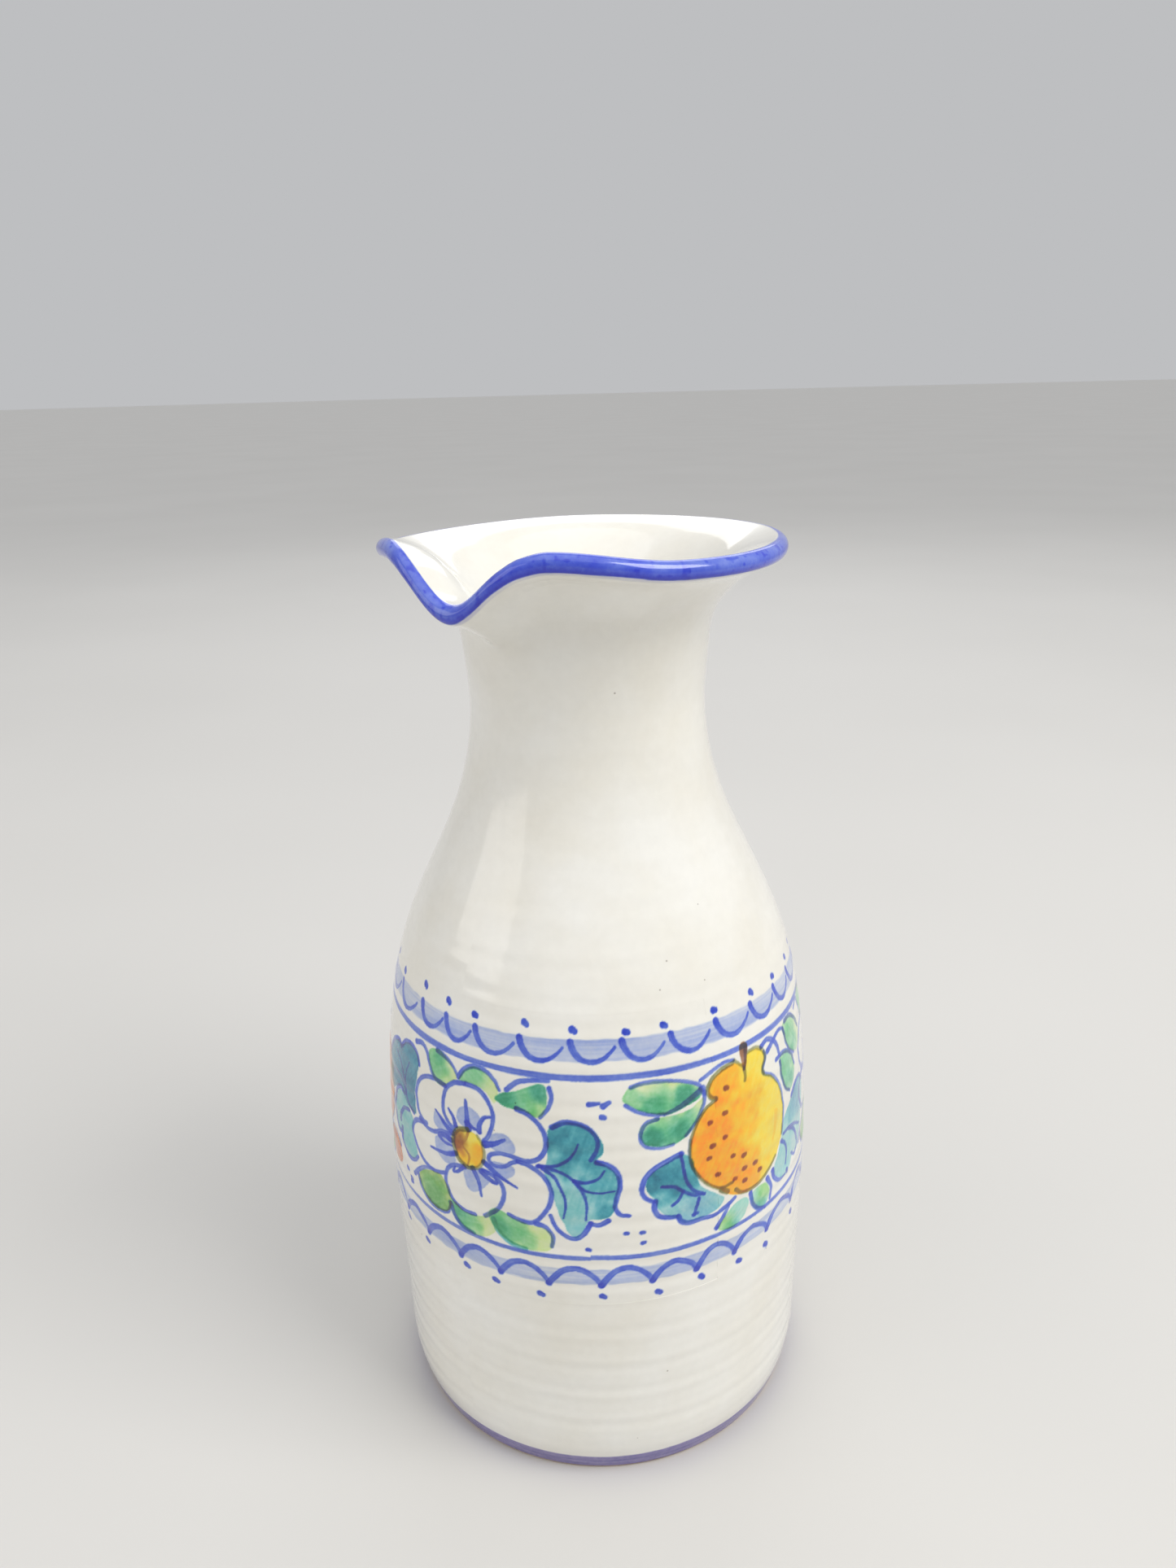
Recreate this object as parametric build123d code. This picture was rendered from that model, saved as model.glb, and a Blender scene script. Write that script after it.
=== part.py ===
from build123d import *
import math
import os

# Hand-thrown ceramic pitcher with a pulled pouring lip and no handle. Millimetres, +Z up.
# Origin: on the pot's axis, in the plane of the foot ring. The pouring lip points along -Y.
# The pot is one fired clay body under a coat of white glaze. The coat is cut where its colour
# changes: foot line, white belly, painted borders and frieze, white neck, blue lip, white inside.

# ---- driving dimensions --------------------------------------------------------------------
# Outside of the glazed wall as (radius, height), from the foot to the root of the rolled lip.
OUTSIDE = [
    (54.6, 0.0), (56.4, 5.5), (57.7, 20.0), (58.8, 60.0), (57.8, 103.0), (55.1, 123.0),
    (50.2, 140.0), (42.6, 157.0), (35.4, 173.0), (31.3, 188.0), (30.2, 201.0), (31.1, 213.0),
    (33.2, 223.0), (38.0, 229.1), (42.6, 233.0), (48.5, 235.4),
]
WALL_AT_FOOT = 5.0        # wall thickness, glaze included
WALL_AT_BELLY = 4.6
BELLY_HEIGHT = 60.0
WALL_AT_NECK = 4.0
NECK_HEIGHT = 200.0
LIP_THICKNESS = 4.8       # the rolled lip is a half round of this diameter
COAT = 0.4                # thickness of the fired glaze
FLOOR = 7.5               # height of the glazed floor inside
FLOOR_CORNER = 12.0       # radius between the inside wall and the floor
FOOT_RECESS_RADIUS = 46.0
FOOT_RECESS_DEPTH = 1.8
FOOT_RECESS_SLOPE = 2.5   # the recess narrows by this much over its depth
WAIST = 201.0             # narrowest ring of the neck, where the clay is modelled in two lengths

# Pouring lip: angles in degrees either side of the spout's middle plane, sizes at the rim.
SPOUT_DROP = 10.0
SPOUT_HALF = 22.5
SPOUT_REACH = -0.8
SHOULDER_RISE = 2.3
SHOULDER_AT = 30.0
SHOULDER_NEAR = 14.0      # the shoulder's half width towards the spout
SHOULDER_FAR = 35.0       # and away from it
FLANK_REACH = 0.4
FLANK_AT = 45.0
FLANK_HALF = 18.0
SIDE_SAG = 0.9
SIDE_AT = 85.0
SIDE_HALF = 60.0
THROAT_HEIGHT = 210.0     # the pulled shape fades out between the rim and this height
RIM_HEIGHT = 236.0

# Heights where the coat changes colour.
BARE_FOOT_TOP = 0.8
FOOT_BAND_TOP = 5.3
LOWER_BORDER_BOTTOM = 58.0
LOWER_BORDER_TOP = 73.0
UPPER_BORDER_BOTTOM = 120.0
UPPER_BORDER_TOP = 135.5
LIP_BAND_BELOW_CENTRE = 1.6    # the blue ends this far under the middle of the rolled lip

# Resolution of the lofted wall. Its rings crowd together towards the flared lip.
OUTER_SECTIONS = 40
CROWDING = 1.5
LIP_SECTIONS = 6
CORNER_SECTIONS = 4
LOOP_POINTS = 60


# ---- shape of the wall -----------------------------------------------------------------------
def bump(x, half_width):
    """A cosine hill, 1 at x = 0 and 0 from half_width outwards."""
    if abs(x) >= half_width:
        return 0.0
    return 0.5 * (1 + math.cos(math.pi * x / half_width))


def rim_shift(angle):
    """How far the rim is pulled outwards and upwards at this angle from the spout."""
    away = abs(angle)
    past = away - SHOULDER_AT
    spout = bump(away, SPOUT_HALF)
    shoulder = bump(past, SHOULDER_NEAR if past < 0 else SHOULDER_FAR)
    flank = bump(away - FLANK_AT, FLANK_HALF)
    side = bump(away - SIDE_AT, SIDE_HALF)
    outwards = SPOUT_REACH * spout + FLANK_REACH * flank
    upwards = SHOULDER_RISE * shoulder - SPOUT_DROP * spout - SIDE_SAG * side
    return outwards, upwards


def pull(height):
    """Share of the rim's shift that a point at this height follows."""
    share = (height - THROAT_HEIGHT) / (RIM_HEIGHT - THROAT_HEIGHT)
    share = min(max(share, 0.0), 1.0)
    return share * share * (3 - 2 * share)


def ring(place):
    """Smooth closed ring through place(angle), which gives (radius, height) at each angle."""
    points = []
    for i in range(LOOP_POINTS):
        angle = 360 * i / LOOP_POINTS - 180
        radius, height = place(angle)
        turn = math.radians(angle)
        points.append(Vector(radius * math.sin(turn), -radius * math.cos(turn), height))
    even = [i / LOOP_POINTS for i in range(LOOP_POINTS + 1)]
    return Wire([Edge.make_spline(points, periodic=True, parameters=even)])


def wall_ring(radius, height):
    """Ring of the wall at a nominal radius and height, pulled into the spout."""
    share = pull(height)

    def place(angle):
        outwards, upwards = rim_shift(angle)
        return radius + share * outwards, height + share * upwards

    return ring(place)


def wall_thickness(height):
    """Glazed wall thickness, tapering from the foot to the neck and swelling to the lip."""
    stations = [
        (0.0, WALL_AT_FOOT), (BELLY_HEIGHT, WALL_AT_BELLY),
        (NECK_HEIGHT, WALL_AT_NECK), (OUTSIDE[-1][1], LIP_THICKNESS),
    ]
    for (low, thick_low), (high, thick_high) in zip(stations, stations[1:]):
        if height <= high:
            return thick_low + (thick_high - thick_low) * (height - low) / (high - low)
    return LIP_THICKNESS


def wall_line():
    """Points of the outside line with the outward normal and the wall thickness at each."""
    line = Spline([(r, z) for r, z in OUTSIDE])
    stations = []
    for i in range(OUTER_SECTIONS + 1):
        at = 1 - (1 - i / OUTER_SECTIONS) ** CROWDING
        point = line @ at
        along = line % at
        stations.append((point, Vector(along.Y, -along.X), wall_thickness(point.Y)))
    return stations


def layer_sections(depth):
    """(radius, height) rings of the outside, the lip and the inside, depth under the glaze."""
    stations = wall_line()
    outside = [p - n * depth for p, n, _ in stations]
    outside[0] = Vector(outside[0].X, 0)

    end, normal, thick = stations[-1]
    centre = end - normal * (thick / 2)
    forward = Vector(-normal.Y, normal.X)
    radius = thick / 2 - depth
    lip = []
    for i in range(LIP_SECTIONS + 1):
        turn = math.pi * i / LIP_SECTIONS
        lip.append(centre + normal * (radius * math.cos(turn)) + forward * (radius * math.sin(turn)))

    corner_z = FLOOR + FLOOR_CORNER
    inside = [p - n * (t - depth) for p, n, t in reversed(stations) if p.Y > corner_z + 4]
    near_corner, _, thick = min(stations, key=lambda station: abs(station[0].Y - corner_z))
    corner_r = near_corner.X - thick - FLOOR_CORNER
    reach = FLOOR_CORNER + depth
    for i in range(CORNER_SECTIONS + 1):
        turn = math.pi / 2 * i / CORNER_SECTIONS
        inside.append(Vector(corner_r + reach * math.cos(turn), corner_z - reach * math.sin(turn)))
    return [[(p.X, p.Y) for p in rings] for rings in (outside, lip, inside)]


def vessel(depth):
    """Solid pot whose whole skin lies depth under the finished glaze, flat at z = 0."""
    runs = [[wall_ring(r, z) for r, z in rings] for rings in layer_sections(depth)]
    faces = [Face(runs[0][0]), Face(runs[-1][-1])]
    for run in runs:
        faces += Shell.make_loft(run).faces()
    return Solid(Shell(faces))


# ---- cutting the coat ------------------------------------------------------------------------
def lip_centre():
    end, normal, thick = wall_line()[-1]
    return end - normal * (thick / 2)


def above_lip_line():
    """Everything over the wavy line where the blue of the lip begins on the outside."""
    height = lip_centre().Y - LIP_BAND_BELOW_CENTRE
    far = 75.0
    near = 15.0
    top = 262.0
    rings = [
        ring(lambda angle: (far, top)),
        ring(lambda angle: (far, height + rim_shift(angle)[1])),
        ring(lambda angle: (near, height + rim_shift(angle)[1])),
        ring(lambda angle: (near, top - 2)),
    ]
    return Solid.make_loft(rings, ruled=True)


def inside_crest():
    """Upright plug bounded by the crest of the lip, where the blue meets the white inside."""
    crest = lip_centre().X
    ends = [ring(lambda angle, z=z: (crest + rim_shift(angle)[0], z)) for z in (220.0, 246.0)]
    return Solid.make_loft(ends, ruled=True)


def slab(bottom, top):
    """Level slice through the whole pot."""
    return Pos(0, 0, (bottom + top) / 2) * Box(200, 200, top - bottom)


def widest(shape):
    """The outermost ring of a cut coat."""
    return max(shape.solids(), key=lambda s: (s.bounding_box().size.X, s.bounding_box().size.Z))


# ---- pieces ----------------------------------------------------------------------------------
def make_pieces():
    glazed = vessel(0.0)
    core = vessel(COAT)
    recess = Cone(
        FOOT_RECESS_RADIUS, FOOT_RECESS_RADIUS - FOOT_RECESS_SLOPE, FOOT_RECESS_DEPTH,
        align=(Align.CENTER, Align.CENTER, Align.MIN),
    )
    pieces = {
        "clay_body": (core & slab(-1.0, WAIST)) - recess,
        "clay_neck": core & slab(WAIST, 260.0),
    }

    coat = (glazed - core) & slab(BARE_FOOT_TOP, 260.0)
    lip = (coat & above_lip_line()) - inside_crest()
    pieces["lip_band"] = lip
    rest = (coat - lip).solids()
    outer = max(rest, key=lambda s: s.bounding_box().size.X)
    inner = min(rest, key=lambda s: s.bounding_box().size.X)
    pieces["inner_glaze"] = inner

    cuts = [
        ("foot_band", BARE_FOOT_TOP, FOOT_BAND_TOP),
        ("belly_glaze", FOOT_BAND_TOP, LOWER_BORDER_BOTTOM),
        ("lower_border", LOWER_BORDER_BOTTOM, LOWER_BORDER_TOP),
        ("fruit_frieze", LOWER_BORDER_TOP, UPPER_BORDER_BOTTOM),
        ("upper_border", UPPER_BORDER_BOTTOM, UPPER_BORDER_TOP),
        ("neck_glaze", UPPER_BORDER_TOP, 260.0),
    ]
    for name, bottom, top in cuts:
        pieces[name] = widest(outer & slab(bottom, top))
    return pieces


os.makedirs("parts", exist_ok=True)
for node, shape in make_pieces().items():
    solids = shape.solids()
    export_step(solids[0] if len(solids) == 1 else Compound(solids), f"parts/{node}.step")
    box = shape.bounding_box()
    print(f"{node:13s} solids {len(solids)} volume {shape.volume / 1000:8.2f} cm3  "
          f"z {box.min.Z:7.2f} to {box.max.Z:7.2f}  x {box.size.X:7.2f}  y {box.size.Y:7.2f}")
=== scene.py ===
import math

import bpy
import numpy as np
from mathutils import Matrix, Vector


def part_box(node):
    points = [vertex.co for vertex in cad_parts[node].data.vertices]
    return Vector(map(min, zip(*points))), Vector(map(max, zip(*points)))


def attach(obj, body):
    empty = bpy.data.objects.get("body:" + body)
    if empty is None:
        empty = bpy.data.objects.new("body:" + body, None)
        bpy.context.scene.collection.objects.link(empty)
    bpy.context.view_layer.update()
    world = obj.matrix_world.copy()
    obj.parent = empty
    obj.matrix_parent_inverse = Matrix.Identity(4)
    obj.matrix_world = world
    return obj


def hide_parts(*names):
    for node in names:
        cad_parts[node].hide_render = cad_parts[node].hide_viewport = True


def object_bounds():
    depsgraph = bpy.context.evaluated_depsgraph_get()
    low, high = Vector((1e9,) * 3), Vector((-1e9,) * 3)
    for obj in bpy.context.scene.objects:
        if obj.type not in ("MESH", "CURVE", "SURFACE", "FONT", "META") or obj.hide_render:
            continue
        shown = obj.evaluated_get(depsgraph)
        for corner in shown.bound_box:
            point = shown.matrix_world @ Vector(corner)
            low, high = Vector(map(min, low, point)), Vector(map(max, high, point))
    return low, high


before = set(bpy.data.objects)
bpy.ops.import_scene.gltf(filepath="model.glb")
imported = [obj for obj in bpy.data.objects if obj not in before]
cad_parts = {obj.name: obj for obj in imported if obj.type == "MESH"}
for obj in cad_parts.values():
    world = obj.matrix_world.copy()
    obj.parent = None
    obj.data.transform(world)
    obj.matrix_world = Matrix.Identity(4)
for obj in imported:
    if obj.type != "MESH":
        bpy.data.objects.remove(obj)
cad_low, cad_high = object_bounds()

# A hand-thrown, hand-painted pitcher. Lengths in this script are millimetres until a mesh is made.
# The glaze is modelled as closed shells, one per colour zone, over the clay of the frame. Each
# outer skin carries the brushwork in its vertices as the light that the colours let through; the
# lip's skin also carries a painted shade along the lower edge of its blue.

# ---- shape of the pot, as designed ---------------------------------------------------------------
OUTSIDE = [
    (54.6, 0.0), (56.4, 5.5), (57.7, 20.0), (58.8, 60.0), (57.8, 103.0), (55.1, 123.0),
    (50.2, 140.0), (42.6, 157.0), (35.4, 173.0), (31.3, 188.0), (30.2, 201.0), (31.1, 213.0),
    (33.2, 223.0), (38.0, 229.1), (42.6, 233.0), (48.5, 235.4),
]
WALL = [(0.0, 5.0), (60.0, 4.6), (200.0, 4.0), (235.4, 4.8)]    # (height, thickness)
WALL_SECTIONS = 40                    # the wall is lofted through this many rings and one more,
CROWDING = 1.5                        # which crowd together towards the lip
LIP_THICKNESS = 4.8
COAT = 0.4
FLOOR_HEIGHT = 7.5
FLOOR_CORNER = 12.0
BLUE_STARTS = math.radians(-42)       # where the lip's blue begins and ends on the half round
BLUE_ENDS = math.radians(90)
SPOUT_DROP, SPOUT_REACH, SPOUT_HALF = 10.0, -0.8, 22.5
SHOULDER_RISE, SHOULDER_AT, SHOULDER_NEAR, SHOULDER_FAR = 2.3, 30.0, 14.0, 35.0
FLANK_REACH, FLANK_AT, FLANK_HALF = 0.4, 45.0, 18.0
SIDE_SAG, SIDE_AT, SIDE_HALF = 0.9, 85.0, 60.0
THROAT_HEIGHT, RIM_HEIGHT = 210.0, 236.0
SECTORS = 6                           # a painted zone is made of this many shells side by side
BACK_STRIDE = 8                       # a shell's hidden back is this many times coarser than its skin

# ---- the painting's own measures -----------------------------------------------------------------
FRONT = math.radians(38.5)            # the middle of the front view, from the spout
PAINT_RADIUS = 58.5                   # x is the arc from the middle of the front at this radius
ROUND = 2 * math.pi * PAINT_RADIUS
CELL = 0.16
STROKE_LOAD = 1.22                    # how full the brush is, and how far a stroke spreads in firing
STROKE_SPREAD = 1.12
CANVAS_LOW, CANVAS_HIGH = 56.0, 138.0

# What each colour takes out of red, green and blue light at full strength.
PIGMENTS = {
    "cobalt": (2.35, 1.75, 0.24),
    "teal": (3.80, 1.22, 0.84),
    "green": (1.62, 0.42, 0.56),
    "lime": (0.55, 0.15, 1.42),
    "yellow": (-0.05, 0.19, 2.90),
    "orange": (-0.04, 0.62, 4.20),
    "brown": (1.05, 1.90, 2.60),
    "olive": (1.35, 1.28, 2.10),
    "red": (0.34, 2.20, 2.40),
    "violet": (1.75, 1.95, 0.80),
    "lip blue": (2.55, 2.00, 0.24),
    "lip halo": (0.42, 0.40, 0.16),
}


# ---- small mathematics ---------------------------------------------------------------------------
def smooth_step(low, high, value):
    share = np.clip((value - low) / (high - low), 0.0, 1.0)
    return share * share * (3 - 2 * share)


def bump(x, half_width):
    """A cosine hill, 1 at x = 0 and 0 from half_width outwards."""
    return np.where(np.abs(x) < half_width, 0.5 * (1 + np.cos(np.pi * x / half_width)), 0.0)


def grain(x, y, seed, period=0):
    """Smooth noise from -1 to 1 with about one hill per unit square, repeating in x if asked."""
    x, y = np.broadcast_arrays(np.asarray(x, float), np.asarray(y, float))
    left, low = np.floor(x).astype(np.int64), np.floor(y).astype(np.int64)
    fx, fy = x - left, y - low
    fx, fy = fx * fx * (3 - 2 * fx), fy * fy * (3 - 2 * fy)

    def corner(i, j):
        if period:
            i = np.mod(i, period)
        mixed = (i * 374761393 + j * 668265263 + seed * 974634777) & 0xFFFFFFFF
        mixed = ((mixed ^ (mixed >> 13)) * 1274126177) & 0xFFFFFFFF
        return ((mixed ^ (mixed >> 16)) & 0xFFFF) / 32767.5 - 1

    bottom = corner(left, low) * (1 - fx) + corner(left + 1, low) * fx
    top = corner(left, low + 1) * (1 - fx) + corner(left + 1, low + 1) * fx
    return bottom * (1 - fy) + top * fy


def natural_spline(points, shares):
    """Cubic spline through the points, free at both ends: its places and directions at these
    shares of its way. Its pace comes from the first two columns, and any other goes along."""
    points = np.array(points, float)
    knots = np.concatenate([[0], np.cumsum(np.linalg.norm(np.diff(points[:, :2], axis=0), axis=1))])
    gaps = np.diff(knots)
    size = len(points)
    matrix = np.eye(size)
    right = np.zeros(points.shape)
    for i in range(1, size - 1):
        matrix[i, i - 1:i + 2] = gaps[i - 1], 2 * (gaps[i - 1] + gaps[i]), gaps[i]
        right[i] = 6 * ((points[i + 1] - points[i]) / gaps[i] - (points[i] - points[i - 1]) / gaps[i - 1])
    bend = np.linalg.solve(matrix, right)
    at = knots[-1] * np.asarray(shares)
    span = np.clip(np.searchsorted(knots, at, side="right") - 1, 0, size - 2)
    gap = gaps[span][:, None]
    before = (at - knots[span])[:, None]
    after = gap - before
    first, last = points[span], points[span + 1]
    low, high = bend[span], bend[span + 1]
    place = (low * after ** 3 + high * before ** 3) / (6 * gap)
    place += (first / gap - low * gap / 6) * after + (last / gap - high * gap / 6) * before
    slope = (high * before ** 2 - low * after ** 2) / (2 * gap)
    slope += (last - first) / gap - (high - low) * gap / 6
    return place, slope[:, :2] / np.linalg.norm(slope[:, :2], axis=1)[:, None]


def smooth_line(points, closed=False, spacing=0.25):
    """Catmull-Rom curve through the points, sampled about every spacing."""
    points = np.array(points, float)
    if closed:
        ring = np.vstack([points[-1], points, points[:2]])
    else:
        ring = np.vstack([2 * points[0] - points[1], points, 2 * points[-1] - points[-2]])
    line = []
    for a, b, c, d in zip(ring, ring[1:], ring[2:], ring[3:]):
        count = max(2, int(np.linalg.norm(c - b) / spacing))
        t = (np.arange(count) / count)[:, None]
        line.append(0.5 * (2 * b + (c - a) * t + (2 * a - 5 * b + 4 * c - d) * t ** 2
                           + (3 * b - a - 3 * c + d) * t ** 3))
    if not closed:
        line.append(points[-1:])
    return np.vstack(line)


# ---- the pot's skin --------------------------------------------------------------------------
def across_line(along):
    """The outward normals of a line that runs along these directions."""
    return np.stack([along[:, 1], -along[:, 0]], axis=1)


def pulled(points):
    """The points with, as a third column, the share of the rim's pull that each one follows."""
    return np.column_stack([points, smooth_step(THROAT_HEIGHT, RIM_HEIGHT, points[:, 1])])


class Meridian:
    """The pot's section, walked from the foot up the outside, over the lip and down the inside."""

    def __init__(self):
        crowded = 1 - (1 - np.arange(WALL_SECTIONS + 1) / WALL_SECTIONS) ** CROWDING
        fine = np.linspace(0, 1, 1600)
        station, along = natural_spline(OUTSIDE, crowded)
        out = across_line(along)
        thick = np.interp(station[:, 1], *zip(*WALL))[:, None]
        wall, wall_along = natural_spline(pulled(station), fine)
        self.lip_centre = station[-1] - out[-1] * LIP_THICKNESS / 2
        self.lip_start = math.atan2(out[-1, 1], out[-1, 0])
        turn = np.linspace(self.lip_start, self.lip_start + math.pi, 120)[1:-1]
        lip_out = np.stack([np.cos(turn), np.sin(turn)], axis=1)
        lip = pulled(self.lip_centre + lip_out * LIP_THICKNESS / 2)

        corner_height = FLOOR_HEIGHT + FLOOR_CORNER
        beside = np.abs(station[:, 1] - corner_height).argmin()
        corner_radius = station[beside, 0] - thick[beside, 0] - FLOOR_CORNER
        inside = (station - out * thick)[station[:, 1] > corner_height + 4][::-1]
        turn = np.linspace(0, math.pi / 2, 5)
        corner = np.stack([corner_radius + FLOOR_CORNER * np.cos(turn),
                           corner_height - FLOOR_CORNER * np.sin(turn)], axis=1)
        inner, inner_along = natural_spline(pulled(np.vstack([inside, corner])), fine)
        across = np.linspace(corner_radius, 0.0, 40)[1:]
        floor = pulled(np.stack([across, np.full(39, FLOOR_HEIGHT)], axis=1))
        floor_along = np.tile([-1.0, 0.0], (39, 1))

        self.points = np.vstack([wall, lip, inner, floor])
        self.normals = np.vstack([
            across_line(wall_along), lip_out, across_line(inner_along), across_line(floor_along)])
        steps = np.linalg.norm(np.diff(self.points[:, :2], axis=0), axis=1)
        self.walk = np.concatenate([[0], np.cumsum(steps)])
        self.wall_end = self.walk[len(wall) - 1]
        self.inside_start = self.walk[len(wall) + len(lip)]
        self.wall_heights = wall[:, 1]
        self.wall_walk = self.walk[:len(wall)]

    def at_height(self, height):
        """How far along the outside wall this height is."""
        return float(np.interp(height, self.wall_heights, self.wall_walk))

    def on_lip(self, turn):
        """How far along the section this angle of the lip's half round is."""
        return self.wall_end + (turn - self.lip_start) * LIP_THICKNESS / 2

    def place(self, walk):
        """Radius, height and share of the pull at these distances, and the section's normal."""
        radius, height, share = (np.interp(walk, self.walk, self.points[:, k]) for k in range(3))
        out, up = (np.interp(walk, self.walk, self.normals[:, k]) for k in range(2))
        return radius, height, share, out, up


meridian = Meridian()


def throwing_rings(angle, walk, radius, height):
    """Height of the potter's finger marks over the smooth wall: slow rings that climb as a spiral."""
    turn = angle / (2 * math.pi)
    outside = smooth_step(4, 14, height) * smooth_step(232, 216, height)
    climb = height + 5.2 * turn
    drift = 0.8 * grain(3 * turn, height / 19, 11, period=3)
    rings = 0.060 * np.sin(climb / 6.4 * 2 * math.pi + drift)
    rings += 0.035 * np.sin(climb / 3.9 * 2 * math.pi + 2.1 * drift + 1.0)
    rings *= 0.65 + 0.5 * grain(2 * turn, height / 24, 12, period=2)
    rings *= 0.45 + 0.55 * smooth_step(145, 115, height) + 0.5 * smooth_step(62, 40, height)
    dents = 0.05 * grain(9 * turn, height / 13, 13, period=9)
    inside = walk > meridian.inside_start
    deep = smooth_step(3, 16, radius) * smooth_step(232, 215, height)
    spiral = 0.16 * np.sin((walk + 7.5 * turn) / 7.5 * 2 * math.pi + drift) * deep
    return np.where(inside, spiral, (rings + dents) * outside)


def skin(angle, walk, depth=0.0):
    """Points of the pot at these angles and distances along the section, depth under the skin."""
    angle, walk = np.broadcast_arrays(angle, walk)
    radius, height, share, out, up = meridian.place(walk)
    lift = throwing_rings(angle, walk, radius, height) if depth == 0 else -depth
    radius = radius + out * lift
    height = height + up * lift
    away = np.abs(np.degrees(np.mod(angle + math.pi, 2 * math.pi) - math.pi))
    past = away - SHOULDER_AT
    spout = bump(away, SPOUT_HALF)
    shoulder = np.where(past < 0, bump(past, SHOULDER_NEAR), bump(past, SHOULDER_FAR))
    side = bump(away - SIDE_AT, SIDE_HALF)
    radius = radius + share * (SPOUT_REACH * spout + FLANK_REACH * bump(away - FLANK_AT, FLANK_HALF))
    height = height + share * (SHOULDER_RISE * shoulder - SPOUT_DROP * spout - SIDE_SAG * side)
    return np.stack([radius * np.sin(angle), -radius * np.cos(angle), height], axis=-1)


def skin_normals(angle, walk):
    step = 0.06
    end = meridian.walk[-1]
    up = skin(angle, np.minimum(walk + step, end)) - skin(angle, np.maximum(walk - step, 0))
    side = skin(angle + step / 50, walk) - skin(angle - step / 50, walk)
    normal = np.cross(side, up)
    return normal / np.maximum(np.linalg.norm(normal, axis=-1, keepdims=True), 1e-9)


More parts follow.
